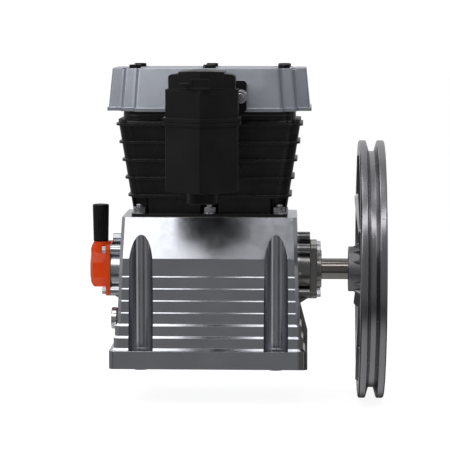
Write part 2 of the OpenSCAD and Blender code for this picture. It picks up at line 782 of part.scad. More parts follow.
// Stepped plan of the head: three panels to each side, joined by coves
cove_r = 5;
panel_edge_r = 2.5;
module head_plan(out = 0) {
  offset(r = -cove_r, $fn = 32) offset(r = cove_r + panel_edge_r, $fn = 32)
    offset(delta = -panel_edge_r) {
      square([2 * (head_outer_half_x + out), 2 * (head_outer_half_y + out)], center = true);
      square([2 * (head_mid_half_x + out), 2 * (head_mid_half_y + out)], center = true);
      square([2 * (head_main_half_x + out), 2 * (head_main_half_y + out)], center = true);
    }
}

intake_z = (flange_z + flange_top_z) / 2;
port_boss_r = port_d / 2 + 6;
port_face_y = head_main_half_y + 3;
port_z = intake_z;
module cylinder_head() color(casting) difference() {
  union() {
    translate([0, 0, head_z]) linear_extrude(head_h, scale = head_scale, slices = head_slices) head_plan();
    translate([0, 0, head_z]) linear_extrude(head_lip_h) head_plan(head_lip_out);
    along_y(z = port_z, y = chamber_out_y)
      cylinder(h = port_face_y - chamber_out_y, r = port_boss_r);
    flange_plate(column_r - head_main_half_y, column_r);
  }
  translate([-flange_half_x - free_gap, -head_main_half_y - 2 * head_lip_out, head_z - over])
    cube([2 * (flange_half_x + free_gap), 2 * head_lip_out, head_lip_h + 2 * over]);
  for (s = [-1, 1]) translate([0, 0, head_z - over]) linear_extrude(chamber_h + over) chamber_plan(s);
  head_bolt_places() {
    translate([0, 0, head_z - over])
      cylinder(h = head_h + 2 * over, r = stud_d / 2 + 2 * thread_gap);
    translate([0, 0, head_top_z - spot_face_depth])
      cylinder(h = spot_face_depth + over, r = spot_face_d / 2);
  }
  translate([0, -head_main_half_y / 2 - head_bolt_off / 2, intake_z]) rotate([90, 0, 0])
    cylinder(h = head_main_half_y, r = intake_d / 2);
  along_y(z = port_z, y = chamber_out_y - chamber_rib)
    cylinder(h = head_main_half_y, r = port_d / 2);
  for (s = [-1, 1]) along_y(x = s * flange_bolt_off, z = intake_z, y = -head_main_half_y - over)
    cylinder(h = 2 * column_r, r = stud_d / 2 + thread_gap);
}

module head_bolts() color(black_paint) head_bolt_places() {
  translate([0, 0, head_top_z - spot_face_depth]) hex_bar(head_bolt_flats, head_bolt_h);
  translate([0, 0, block_top_z - tap_depth + over])
    cylinder(h = head_top_z - spot_face_depth - block_top_z + tap_depth - over + sliver, r = stud_d / 2);
}

// Reducer ring screwed into the delivery port
seat_l = 9;
module delivery_elbow_seat() color("goldenrod") difference() {
  along_y(z = port_z, y = port_face_y - seat_l) cylinder(h = seat_l, r = port_d / 2 - thread_gap);
  along_y(z = port_z, y = port_face_y - seat_l - over)
    cylinder(h = seat_l + 2 * over, r = port_d / 2 - 3);
}

// Intake flange and filter
flange_face_y = -head_main_half_y - gasket_t;
flange_corner_r = 4.5;
module flange_plate(y0, t) {
  translate([0, y0, intake_z]) rotate([90, 0, 0])
    linear_extrude(t) round_rect(flange_half_x, flange_h / 2, flange_corner_r);
}

module flange_holes(y0, l) {
  for (s = [-1, 1]) translate([s * flange_bolt_off, y0, intake_z]) rotate([90, 0, 0])
    cylinder(h = l, r = stud_d / 2 + thread_gap);
}

module intake_gasket() color(gasket_paper) difference() {
  flange_plate(-head_main_half_y, gasket_t);
  flange_holes(-head_main_half_y + over, gasket_t + 2 * over);
  translate([0, -head_main_half_y + over, intake_z]) rotate([90, 0, 0])
    cylinder(h = gasket_t + 2 * over, r = intake_d / 2);
}

// Six-sided outline of the filter, grown or shrunk by an amount
function filter_points(grow) = [
  for (p = [[1, 1, 0], [0, 0, 1], [-1, 1, 0], [-1, -1, 0], [0, 0, -1], [1, -1, 0]])
    [
      p[0] * (filter_half_x + grow),
      p[1] * (filter_side_half_y + grow / 2) + p[2] * (filter_ridge_y + grow * ridge_grow)
    ]
];
ridge_grow = 1.3;
module filter_prism(z0, z1, grow = 0) {
  translate([filter_x, -filter_y, z0]) linear_extrude(z1 - z0) polygon(filter_points(grow));
}

neck_y0 = flange_face_y - flange_t;
module filter_box(z0, z1) {
  translate([filter_x, flange_face_y - filter_ridge_y, (z0 + z1) / 2])
    cube([2 * filter_half_x, 2 * filter_ridge_y, z1 - z0], center = true);
}

module filter_body() color(black_plastic) difference() {
  union() {
    filter_prism(shell_split_z, filter_top_z);
    filter_prism(shell_split_z, band_z + band_h, band_out);
    flange_plate(flange_face_y, flange_t);
    intersection() {
      translate([0, neck_y0 + over, intake_z]) rotate([90, 0, 0])
        cylinder(h = filter_side_half_y + 2 * over, r = intake_d / 2 + filter_wall);
      filter_box(shell_split_z, filter_top_z);
    }
  }
  filter_prism(shell_split_z - over, filter_top_z + over, -filter_wall);
  translate([0, flange_face_y + over, intake_z]) rotate([90, 0, 0])
    cylinder(h = filter_y - element_r / 2 + flange_face_y, r = intake_d / 2);
  flange_holes(flange_face_y + over, flange_t + 2 * over);
}

module filter_base() color(black_plastic) difference() {
  union() {
    filter_prism(filter_z, shell_split_z);
    filter_prism(band_z, shell_split_z, band_out);
    translate([filter_x, -filter_y, filter_z - spigot_l])
      cylinder(h = spigot_l + over, r = spigot_d / 2);
  }
  filter_prism(filter_z + filter_wall, shell_split_z + over, -filter_wall);
  translate([filter_x, -filter_y, filter_z - spigot_l - over])
    cylinder(h = spigot_l + filter_wall + 3 * over, r = spigot_d / 2 - filter_wall);
}

module filter_element() color("khaki") translate([filter_x, -filter_y, filter_z + filter_wall])
  difference() {
    cylinder(h = band_z - filter_z - filter_wall, r = element_r);
    translate([0, 0, -over]) cylinder(h = band_z - filter_z, r = element_r / 2);
  }

// Lid: a dome of round ribs over a plug, with a latch tab at the front
lid_rim_h = 15.5;
lid_corner_r = 4.5;
lid_plug_h = 5;
tab_half_w = 10.85;
tab_h = 10.2;
tab_t = 3;
tab_corner_r = 2.5;
arch_half_x = 25;
arch_rise = 1.5;
lid_depth_share = 0.92;
module round_top(hx, h, r) {
  translate([-hx, 0]) square([2 * hx, h - r]);
  translate([r - hx, 0]) square([2 * (hx - r), h]);
  for (s = [-1, 1]) translate([s * (hx - r), h - r]) circle(r = r);
}

module lid_dome(hx, h, rise, corner_r, y0, y1) {
  // Cross-section along Y: a segment of a circle over a rim with round shoulders
  r = (hx * hx + rise * rise) / (2 * rise);
  translate([0, y1, 0]) rotate([90, 0, 0]) linear_extrude(y1 - y0) {
    intersection() {
      translate([0, h - r]) circle(r = r, $fn = 128);
      translate([corner_r - hx, 0]) square([2 * (hx - corner_r), h]);
    }
    round_top(hx, h - rise * 0.75, corner_r);
  }
}

module filter_lid() color(black_plastic) translate([filter_x, -filter_y, filter_top_z]) {
  difference() {
    union() {
      intersection() {
        union() {
          lid_dome(lid_half_x, lid_h - arch_rise, lid_h - arch_rise - lid_rim_h, lid_corner_r,
            -filter_ridge_y, filter_ridge_y);
          lid_dome(arch_half_x, lid_h, arch_rise, arch_rise / 2, -filter_ridge_y, filter_ridge_y);
        }
        linear_extrude(lid_h) scale(lid_depth_share) polygon(filter_points(0));
      }
      translate([0, 0, -lid_plug_h])
        linear_extrude(lid_plug_h + over) polygon(filter_points(-filter_wall - free_gap));
    }
    translate([0, 0, -lid_plug_h - over])
      linear_extrude(lid_plug_h + lid_rim_h / 2) polygon(filter_points(-3 * filter_wall));
  }
  translate([0, -filter_ridge_y * (lid_depth_share - 0.5), 0]) rotate([90, 0, 0])
    linear_extrude(filter_ridge_y / 2) difference() {
      round_top(tab_half_w, tab_h, tab_corner_r);
      translate([0, -over]) round_top(tab_half_w - tab_t, tab_h - tab_t + over, tab_corner_r / 2);
    }
}

module intake_bolts() color(zinc) for (s = [-1, 1])
  translate([s * flange_bolt_off, neck_y0, intake_z]) rotate([90, 0, 0]) {
    difference() {
      cylinder(h = washer_t, r = washer_d / 2 - thread_gap);
      translate([0, 0, -over]) cylinder(h = washer_t + over - sliver, r = stud_d / 2 - sliver);
    }
    translate([0, 0, washer_t]) hex_bar(nut_flats, nut_h);
    translate([0, 0, -flange_t - gasket_t - column_r])
      cylinder(h = flange_t + gasket_t + column_r + washer_t + nut_h + stud_tip, r = stud_d / 2);
  }

// End cover with filler neck on the far end
module cover_outline(bolt_off, lug_r, r) {
  circle(r = r);
  for (a = [0, 90]) rotate(a) square([2 * bolt_off, 2 * (bolt_off + lug_r) - 4 * free_gap], center = true);
  for (sy = [-1, 1], sz = [-1, 1]) translate([sy * bolt_off, sz * bolt_off]) circle(r = lug_r);
}

module cover_plate(x0, t, bolt_off, r) {
  translate([x0, 0, crank_z]) rotate([90, 0, 90]) linear_extrude(t) cover_outline(bolt_off, drum_lug_r, r);
}

module cover_holes(x0, l, bolt_off) {
  around_crank(bolt_off) along_x(x0) cylinder(h = l, r = small_bolt_d / 2 + thread_gap);
}

module end_cover_gasket() color("ivory") difference() {
  cover_plate(cover_face_x, end_gasket_t, left_bolt_off, left_drum_r);
  bar_x(cover_face_x - over, left_face_x + over, left_bearing_od / 2);
  cover_holes(cover_face_x - over, end_gasket_t + 2 * over, left_bolt_off);
}

cover_dome = 2;
cover_bore_r = cover_flats / 2 - 4;
neck_x = cover_outer_x - neck_d / 2 + 3.6;
neck_bore_r = neck_d / 2 - 4;
module end_cover() color(orange_paint) difference() {
  union() {
    cover_plate(cover_outer_x, cover_flange_t, left_bolt_off, left_drum_r);
    bar_x(cover_face_x - sliver, left_face_x + spigot_depth, left_bearing_od / 2 - thread_gap);
    translate([cover_outer_x - cover_body_l + cover_dome, 0, crank_z]) rotate([0, 90, 0]) rotate(22.5)
      cylinder(h = cover_body_l, r = cover_flats / 2 / cos(22.5), $fn = 8);
    bar_x(cover_outer_x - cover_body_l, cover_outer_x, cover_flats / 2 - 2 * cover_dome);
    translate([neck_x, 0, crank_z]) cylinder(h = neck_top, r = neck_d / 2);
  }
  bar_x(cover_outer_x - cover_body_l + 2 * cover_dome, left_face_x + spigot_depth + over, cover_bore_r);
  translate([neck_x, 0, crank_z]) cylinder(h = neck_top + over, r = neck_bore_r);
  cover_holes(cover_outer_x - over, cover_flange_t + 2 * over, left_bolt_off);
}

module cap_screw(side, x, bolt_off, grip) {
  around_crank(bolt_off) along_x(x) mirror([0, 0, side < 0 ? 0 : 1]) {
    translate([0, 0, -small_bolt_h]) hex_bar(small_bolt_flats, small_bolt_h);
    translate([0, 0, -sliver]) cylinder(h = grip + sliver, r = small_bolt_d / 2);
  }
}

module end_cover_bolts() color(zinc)
  cap_screw(-1, cover_outer_x, left_bolt_off, cover_flange_t + end_gasket_t + 1.5 * spigot_depth);

// Vented plug, pushed down into the filler neck
plug_depth = 9;
flute_r = 0.9;
breather_z = crank_z + neck_top;
module breather_plug() color(black_plastic) translate([neck_x, 0, breather_z]) difference() {
  union() {
    cylinder(h = breather_h, r1 = breather_d / 2 - breather_taper / 2, r2 = breather_d / 2);
    translate([0, 0, -plug_depth]) cylinder(h = plug_depth + over, r = neck_bore_r - run_gap);
  }
  for (i = [0:breather_flutes - 1]) rotate(i * 360 / breather_flutes)
    translate([(breather_d - breather_taper + flute_r) / 2, 0, 2 * flute_r])
      rotate([0, atan(breather_taper / breather_h / 2), 0])
        cylinder(h = breather_h - 5 * flute_r, r = flute_r, $fn = 16);
}

// Seal cover on the flywheel end
seal_bore_r = shaft_d / 2 + 7;
module seal_cover_gasket() color(gasket_paper) difference() {
  cover_plate(right_face_x, end_gasket_t, right_bolt_off, right_drum_r);
  bar_x(right_face_x - over, seal_face_x + over, right_bearing_od / 2);
  cover_holes(right_face_x - over, end_gasket_t + 2 * over, right_bolt_off);
}

module seal_cover() color("#6d6f73") difference() {
  union() {
    cover_plate(seal_face_x, seal_cover_t, right_bolt_off, right_drum_r);
    bar_x(right_face_x - spigot_depth, seal_face_x + sliver, right_bearing_od / 2 - thread_gap);
    bar_x(seal_outer_x - over, seal_outer_x + seal_nose_l, seal_nose_r);
  }
  bar_x(right_face_x - spigot_depth - over, seal_outer_x + seal_nose_l + over, seal_bore_r);
  cover_holes(seal_face_x - over, seal_cover_t + 2 * over, right_bolt_off);
}

module seal_cover_bolts() color(zinc)
  cap_screw(1, seal_outer_x, right_bolt_off, seal_cover_t + end_gasket_t + 1.5 * spigot_depth);

seal_w = 8;
module shaft_seal() color("#7a2a12") ring_x(seal_outer_x + seal_nose_l - seal_w - thread_gap,
  seal_outer_x + seal_nose_l - thread_gap, seal_bore_r - sliver, shaft_d / 2 + run_gap);

// Deep-groove ball bearings
ball_count = 9;
race_share = 0.3;
function ball_r(bore, od) = (od - bore) / 4 * 0.6;
function ball_pitch_r(bore, od) = (od + bore) / 4;
module race_groove(bore, od, w, x) {
  along_x(x + w / 2, crank_z) rotate_extrude() translate([ball_pitch_r(bore, od), 0])
    circle(r = ball_r(bore, od) + run_gap);
}

module bearing_outer(bore, od, w, x) color("silver") difference() {
  ring_x(x, x + w, od / 2 - sliver, ball_pitch_r(bore, od) + (od - bore) / 4 * race_share);
  race_groove(bore, od, w, x);
}

module bearing_inner(bore, od, w, x) color("silver") difference() {
  ring_x(x, x + w, ball_pitch_r(bore, od) - (od - bore) / 4 * race_share, bore / 2 + sliver);
  race_groove(bore, od, w, x);
}

cage_half_w = 2;
cage_half_t = 1;
module bearing_balls(bore, od, w, x) color("gainsboro") {
  r = ball_pitch_r(bore, od);
  for (i = [0:ball_count - 1]) along_x(x + w / 2, crank_z) rotate(i * 360 / ball_count)
    translate([r, 0, 0]) sphere(r = ball_r(bore, od));
  ring_x(x + w / 2 - cage_half_w, x + w / 2 + cage_half_w, r + cage_half_t, r - cage_half_t);
}

module left_bearing_outer() bearing_outer(left_bearing_bore, left_bearing_od, left_bearing_w, left_bearing_x);
module left_bearing_inner() bearing_inner(left_bearing_bore, left_bearing_od, left_bearing_w, left_bearing_x);
module left_bearing_balls() bearing_balls(left_bearing_bore, left_bearing_od, left_bearing_w, left_bearing_x);
module right_bearing_outer() bearing_outer(right_bearing_bore, right_bearing_od, right_bearing_w, right_bearing_x);
module right_bearing_inner() bearing_inner(right_bearing_bore, right_bearing_od, right_bearing_w, right_bearing_x);
module right_bearing_balls() bearing_balls(right_bearing_bore, right_bearing_od, right_bearing_w, right_bearing_x);

// Crankshaft with two opposed throws
module web(x0, pin_up) {
  intersection() {
    bar_x(x0, x0 + web_w, web_r);
    translate([x0 - over, -pin_r - crank_throw / 2, 0])
      cube([web_w + 2 * over, 2 * pin_r + crank_throw, case_top_z]);
  }
}

module crank_half(side) {
  x = cylinder_x(side);
  w = pin_gap_x / 2;
  web(x - w - web_w, side < 0);
  web(x + w, side < 0);
  bar_x(x - w - sliver, x + w + sliver, pin_r, z = crank_z + throw_of(side));
}

shoulder_r = left_bearing_bore / 2 + 3.5;
module crankshaft() color(machined) {
  outer_web_x = bore_pitch / 2 + pin_gap_x / 2 + web_w;
  difference() {
    union() {
      crank_half(-1);
      crank_half(1);
      bar_x(-bore_pitch / 2 + pin_gap_x / 2 + web_w - sliver, bore_pitch / 2 - pin_gap_x / 2 - web_w + sliver, pin_r);
      bar_x(-left_journal_shoulder, -outer_web_x + sliver, shoulder_r);
      bar_x(outer_web_x - sliver, left_journal_shoulder, shoulder_r + 2);
      bar_x(left_bearing_x - 2, -outer_web_x + sliver, left_bearing_bore / 2);
      bar_x(outer_web_x - sliver, right_bearing_x + right_bearing_w + 1, right_bearing_bore / 2);
      bar_x(outer_web_x - sliver, shaft_end_x, shaft_d / 2);
    }
    for (side = [-1, 1]) plug_bore(side);
    key_box(sliver);
    bar_x(shaft_end_x - key_l, shaft_end_x + over, stud_d / 2 + 2 * thread_gap);
  }
}

// Round plugs in the crank webs, each half a throw from the centre line
function plug_x(side) = cylinder_x(side) - side * (pin_gap_x / 2 + web_w);
module plug_bore(side) {
  x = plug_x(side);
  bar_x(min(x, x + side * (plug_l + free_gap)) - (side > 0 ? over : 0),
    max(x, x + side * (plug_l + free_gap)) + (side < 0 ? over : 0),
    plug_r + run_gap, z = crank_z + throw_of(side) / 2);
}

module web_plug(side) color("silver") {
  x = plug_x(side);
  bar_x(min(x, x + side * plug_l), max(x, x + side * plug_l), plug_r, z = crank_z + throw_of(side) / 2);
}
module left_web_plug() web_plug(-1);
module right_web_plug() web_plug(1);

key_x = hub_x + key_w / 2;
module key_box(grow = 0) {
  translate([key_x - grow, -key_w / 2 - grow, crank_z + shaft_d / 2 - key_h / 2 - grow])
    cube([key_l + 2 * grow, key_w + 2 * grow, key_h + 2 * grow]);
}
module flywheel_key() color("silver") key_box();

// Flywheel with one belt groove and fan-blade spokes
function groove_half(r) = groove_floor_w / 2 + (groove_w - groove_floor_w) / 2 * (r - wheel_r + groove_depth) / groove_depth;
rim_bevel = 1;
module rim() {
  h = wheel_w / 2;
  along_x(wheel_mid_x, crank_z) rotate_extrude($fn = 180) polygon([
    [rim_inner_r, -h + rim_t / 2], [rim_inner_r + rim_t / 2, -h],
    [wheel_r - rim_bevel, -h], [wheel_r, -h + rim_bevel],
    [wheel_r, -groove_w / 2], [wheel_r - groove_depth, -groove_floor_w / 2],
    [wheel_r - groove_depth, groove_floor_w / 2], [wheel_r, groove_w / 2],
    [wheel_r, h - rim_bevel], [wheel_r - rim_bevel, h],
    [rim_inner_r + rim_t / 2, h], [rim_inner_r, h - rim_t / 2]
  ]);
}

blade_slices = 8;
blade_segments = 4;
blade_root_r = hub_d / 2 - 3;
module blade() {
  l = rim_inner_r - blade_root_r + rim_t / 3;
  translate([wheel_mid_x, 0, crank_z + blade_root_r])
    rotate(blade_tilt) linear_extrude(l, twist = blade_twist, slices = blade_slices, segments = blade_segments)
      square([blade_w, blade_t], center = true);
}

module flywheel() color("#55575b") difference() {
  union() {
    rim();
    intersection() {
      for (i = [0:blade_count - 1]) translate([0, 0, crank_z]) rotate([i * 360 / blade_count, 0, 0])
        translate([0, 0, -crank_z]) blade();
      bar_x(wheel_x + rim_bevel, wheel_x + wheel_w - rim_bevel, wheel_r - groove_depth - rim_t / 2);
    }
    bar_x(hub_x, hub_end_x, hub_d / 2);
  }
  bar_x(hub_x - over, hub_end_x + over, shaft_d / 2 + sliver);
  key_box(sliver);
}

end_washer_r = 17;
end_washer_t = 3;
module flywheel_washer() color(zinc)
  ring_x(hub_end_x, hub_end_x + end_washer_t, end_washer_r, stud_d / 2 + 2 * thread_gap);

module flywheel_bolt() color(zinc) {
  x = hub_end_x + end_washer_t;
  along_x(x, crank_z) hex_bar(nut_flats, nut_h);
  bar_x(shaft_end_x - key_l + over, x + sliver, stud_d / 2);
}

// Connecting rods stand upright over their crankpins, split across the big end
big_r = pin_r + run_gap + big_end_wall;
small_r = wrist_pin_d / 2 + small_end_wall;
rod_bolt_off = big_r + 2;
rod_bolt_d = 6;
shank_w = 14;
shank_t = 10;
dipper_l = 14;
function pin_z(side) = crank_z + throw_of(side);
module rod_outline(side) {
  x = cylinder_x(side);
  bar_x(x - rod_w / 2, x + rod_w / 2, big_r, z = pin_z(side));
  for (s = [-1, 1]) translate([x - rod_w / 2, s * rod_bolt_off - rod_bolt_d, pin_z(side) - rod_bolt_d * 1.5])
    cube([rod_w, 2 * rod_bolt_d, rod_bolt_d * 3]);
}

module rod_bores(side) {
  x = cylinder_x(side);
  bar_x(x - rod_w, x + rod_w, pin_r + run_gap, z = pin_z(side));
  for (s = [-1, 1]) translate([x, s * rod_bolt_off, pin_z(side) - big_r])
    cylinder(h = 2 * big_r, r = rod_bolt_d / 2 + thread_gap);
}

module half_space(side, up) {
  translate([cylinder_x(side) - rod_w, -bore_pitch, pin_z(side) - (up ? 0 : case_top_z)])
    cube([2 * rod_w, 2 * bore_pitch, case_top_z]);
}

module rod(side) color("#b7bbc0") difference() {
  x = cylinder_x(side);
  union() {
    intersection() {
      rod_outline(side);
      half_space(side, true);
    }
    translate([x - shank_t / 2, -shank_w / 2, pin_z(side) + pin_r + big_end_wall / 2])
      cube([shank_t, shank_w, rod_length - pin_r - big_end_wall / 2 - small_r / 2]);
    bar_x(x - rod_w / 2 + 2, x + rod_w / 2 - 2, small_r, z = pin_z(side) + rod_length);
  }
  rod_bores(side);
  bar_x(x - rod_w, x + rod_w, wrist_pin_d / 2, z = pin_z(side) + rod_length);
}

module rod_cap(side) color("#b7bbc0") difference() {
  x = cylinder_x(side);
  union() {
    intersection() {
      rod_outline(side);
      half_space(side, false);
    }
    translate([x, 0, pin_z(side) - big_r - dipper_l]) cylinder(h = dipper_l + over, r = rod_bolt_d / 2);
  }
  rod_bores(side);
}

module rod_bolts(side) color(zinc) for (s = [-1, 1])
  translate([cylinder_x(side), s * rod_bolt_off, pin_z(side)]) {
    translate([0, 0, -rod_bolt_d * 1.5 - small_bolt_h]) hex_bar(small_bolt_flats, small_bolt_h + sliver);
    translate([0, 0, -rod_bolt_d * 1.5]) cylinder(h = rod_bolt_d * 3, r = rod_bolt_d / 2);
  }

module wrist_pin(side) color("silver") ring_x(cylinder_x(side) - wrist_pin_l / 2,
  cylinder_x(side) + wrist_pin_l / 2, wrist_pin_d / 2 - sliver, wrist_pin_d / 4, z = pin_z(side) + rod_length);

module left_rod() rod(-1);
module left_rod_cap() rod_cap(-1);
module left_rod_bolts() rod_bolts(-1);
module left_wrist_pin() wrist_pin(-1);
module right_rod() rod(1);
module right_rod_cap() rod_cap(1);
module right_rod_bolts() rod_bolts(1);
module right_wrist_pin() wrist_pin(1);

// Pistons: the pin bosses are slotted sideways by the throw
slot_half_y = crank_throw + wrist_pin_d / 2 + free_gap;
slot_half_z = wrist_pin_d / 2 + free_gap;
ring_count = 3;
ring_depth = 2.5;
function ring_z(side, i) = pin_z(side) + rod_length + pin_to_crown - piston_wall - i * 2 * ring_h;
module piston(side) color("#c9ccd0") translate([cylinder_x(side), 0, 0]) {
  wrist_z = pin_z(side) + rod_length;
  crown_z = wrist_z + pin_to_crown;
  difference() {
    translate([0, 0, crown_z - piston_h]) cylinder(h = piston_h, r = piston_r);
    translate([0, 0, crown_z - piston_h - over])
      cylinder(h = piston_h - piston_wall + over - 3 * ring_h, r = piston_r - piston_wall);
    translate([-piston_r - over, -slot_half_y, wrist_z - slot_half_z])
      cube([2 * piston_r + 2 * over, 2 * slot_half_y, 2 * slot_half_z]);
    for (i = [0:ring_count - 1]) translate([0, 0, ring_z(side, i) - ring_h]) difference() {
      cylinder(h = ring_h, r = piston_r + over);
      translate([0, 0, -over]) cylinder(h = ring_h + 2 * over, r = piston_r - ring_depth);
    }
  }
}

module piston_rings(side) color("#55585c") translate([cylinder_x(side), 0, 0])
  for (i = [0:ring_count - 1]) translate([0, 0, ring_z(side, i) - ring_h + sliver]) difference() {
    cylinder(h = ring_h - 2 * sliver, r = piston_r + run_gap / 2);
    translate([0, 0, -over]) cylinder(h = ring_h + 2 * over, r = piston_r - ring_depth + sliver);
  }

module left_piston() piston(-1);
module left_piston_rings() piston_rings(-1);
module right_piston() piston(1);
module right_piston_rings() piston_rings(1);

crankcase();
oil_sight_ring();
oil_sight_lens();
oil_drain_plug();
block_gasket();
cylinder_block();
block_studs();
block_washers();
block_nuts();
valve_gasket();
valve_plate();
suction_reeds();
delivery_reeds();
head_gasket();
cylinder_head();
head_bolts();
delivery_elbow_seat();
intake_gasket();
filter_body();
filter_base();
filter_element();
filter_lid();
intake_bolts();
end_cover_gasket();
end_cover();
end_cover_bolts();
breather_plug();
seal_cover_gasket();
seal_cover();
seal_cover_bolts();
shaft_seal();
left_bearing_outer();
left_bearing_inner();
left_bearing_balls();
right_bearing_outer();
right_bearing_inner();
right_bearing_balls();
crankshaft();
flywheel_key();
flywheel();
flywheel_washer();
flywheel_bolt();
left_rod();
left_rod_cap();
left_rod_bolts();
left_wrist_pin();
left_piston();
left_piston_rings();
left_web_plug();
right_rod();
right_rod_cap();
right_rod_bolts();
right_wrist_pin();
right_piston();
right_piston_rings();
right_web_plug();
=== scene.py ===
"""Finishes and fine pieces of a belt-driven air compressor pump head, laid out as an add-on."""

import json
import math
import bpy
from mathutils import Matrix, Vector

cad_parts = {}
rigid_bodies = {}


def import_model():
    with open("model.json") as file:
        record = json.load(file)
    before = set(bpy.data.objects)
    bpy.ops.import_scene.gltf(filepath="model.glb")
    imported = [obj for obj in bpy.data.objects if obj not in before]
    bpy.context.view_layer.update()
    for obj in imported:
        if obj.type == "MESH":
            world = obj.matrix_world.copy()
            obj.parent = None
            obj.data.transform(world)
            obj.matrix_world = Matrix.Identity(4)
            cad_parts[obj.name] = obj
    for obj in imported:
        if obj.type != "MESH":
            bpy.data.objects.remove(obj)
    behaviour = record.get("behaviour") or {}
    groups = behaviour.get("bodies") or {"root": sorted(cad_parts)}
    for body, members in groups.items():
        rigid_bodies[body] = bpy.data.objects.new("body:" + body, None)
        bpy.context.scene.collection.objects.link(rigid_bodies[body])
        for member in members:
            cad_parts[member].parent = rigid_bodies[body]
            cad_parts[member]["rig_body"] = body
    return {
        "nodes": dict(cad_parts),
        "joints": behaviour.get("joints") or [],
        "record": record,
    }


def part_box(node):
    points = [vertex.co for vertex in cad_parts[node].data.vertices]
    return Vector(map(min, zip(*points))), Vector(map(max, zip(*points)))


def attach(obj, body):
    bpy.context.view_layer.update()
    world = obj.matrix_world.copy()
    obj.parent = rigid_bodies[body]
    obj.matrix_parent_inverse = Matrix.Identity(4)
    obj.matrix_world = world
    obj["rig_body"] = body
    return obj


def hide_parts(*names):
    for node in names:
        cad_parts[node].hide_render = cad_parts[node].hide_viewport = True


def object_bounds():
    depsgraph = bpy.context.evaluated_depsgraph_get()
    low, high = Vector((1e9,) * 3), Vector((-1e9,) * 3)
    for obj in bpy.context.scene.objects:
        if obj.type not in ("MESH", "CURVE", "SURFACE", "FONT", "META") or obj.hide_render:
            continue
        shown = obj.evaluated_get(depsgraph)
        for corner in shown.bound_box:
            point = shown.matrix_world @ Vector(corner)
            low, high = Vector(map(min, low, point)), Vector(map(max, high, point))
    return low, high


bl_info = {
    "name": "Compressor Pump Head",
    "version": (1, 1, 0),
    "blender": (4, 5, 0),
    "location": "View3D > Sidebar > Pump Head",
    "description": "Dresses the solids of a belt-driven air compressor pump head",
    "category": "Add Mesh",
}

import bpy
from bpy.props import FloatProperty, FloatVectorProperty, IntProperty, PointerProperty
from mathutils import Vector

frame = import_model()
SOLIDS_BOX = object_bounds()
MM = 0.001
CRANK_Z = frame["joints"][0]["pos_m"][2]
NODES = frame["nodes"]
FULL_TURN = 2 * math.pi
LATCH_FOOT_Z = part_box("filter_lid")[1][2] - 20 * MM
TURNED_FROM = (127.5 * MM, 129.5 * MM)  # radii between which the wheel's cast skin gives way to turning
# X past which the crankcase gets a painted shade with a brown painted reflection
PAINTED_SHADE_FROM_X = 101 * MM
RUSTY_NUT = 3
CREASE = 16  # degrees from which the castings' edges are rounded, the slanted face's crease among them
HEX_SMOOTH = 25  # degrees, for hexagons and threads


def colour_property(name, description, default):
    return FloatVectorProperty(
        name=name, description=description, default=default, subtype="COLOR", size=3, min=0, max=1
    )


def length_property(name, description, default):
    return FloatProperty(name=name, description=description, default=default, unit="LENGTH", min=0)


class FinishSettings(bpy.types.PropertyGroup):
    """Colours and edge sizes of the pump"""

    crankcase_colour: colour_property("Crankcase", "Bare aluminium of the crankcase", (0.53, 0.545, 0.585))
    head_colour: colour_property("Cylinder head", "Bare aluminium of the head", (0.52, 0.55, 0.62))
    block_colour: colour_property("Cylinder block", "Paint on the finned block", (0.007, 0.0065, 0.0065))
    plastic_colour: colour_property("Filter", "Moulded plastic of the air filter", (0.0085, 0.008, 0.008))
    cover_colour: colour_property("End cover", "Paint on the end cover", (0.80, 0.066, 0.0))
    wheel_colour: colour_property("Flywheel", "Machined iron of the flywheel", (0.33, 0.325, 0.345))
    rust_colour: colour_property("Rust", "Rust in small marks", (0.16, 0.055, 0.02))
    casting_edge: length_property("Casting edge", "Edge radius of the castings", 1.1 * MM)
    block_edge: length_property("Block edge", "Edge radius of the finned block", 0.9 * MM)
    plastic_edge: length_property("Plastic edge", "Edge radius of the filter's shells", 1.6 * MM)
    fine_edge: length_property("Fine edge", "Edge radius of small pieces", 0.25 * MM)
    edge_segments: IntProperty(
        name="Edge segments", description="Faces across a rounded edge", default=3, min=1, max=6
    )


class FastenerSettings(bpy.types.PropertyGroup):
    """Sizes of the nuts, bolts and studs"""

    nut_flats: length_property("Nut", "Width of a nut across its flats", 13 * MM)
    screw_flats: length_property("Screw", "Width of a cover screw's head across its flats", 8 * MM)
    stud_diameter: length_property("Stud", "Diameter of the studs", 8 * MM)
    screw_diameter: length_property("Cover screw", "Diameter of the cover screws", 5 * MM)
    washer_diameter: length_property("Washer", "Diameter of a washer", 16 * MM)
    thread_pitch: length_property("Thread", "Distance between threads", 1.25 * MM)


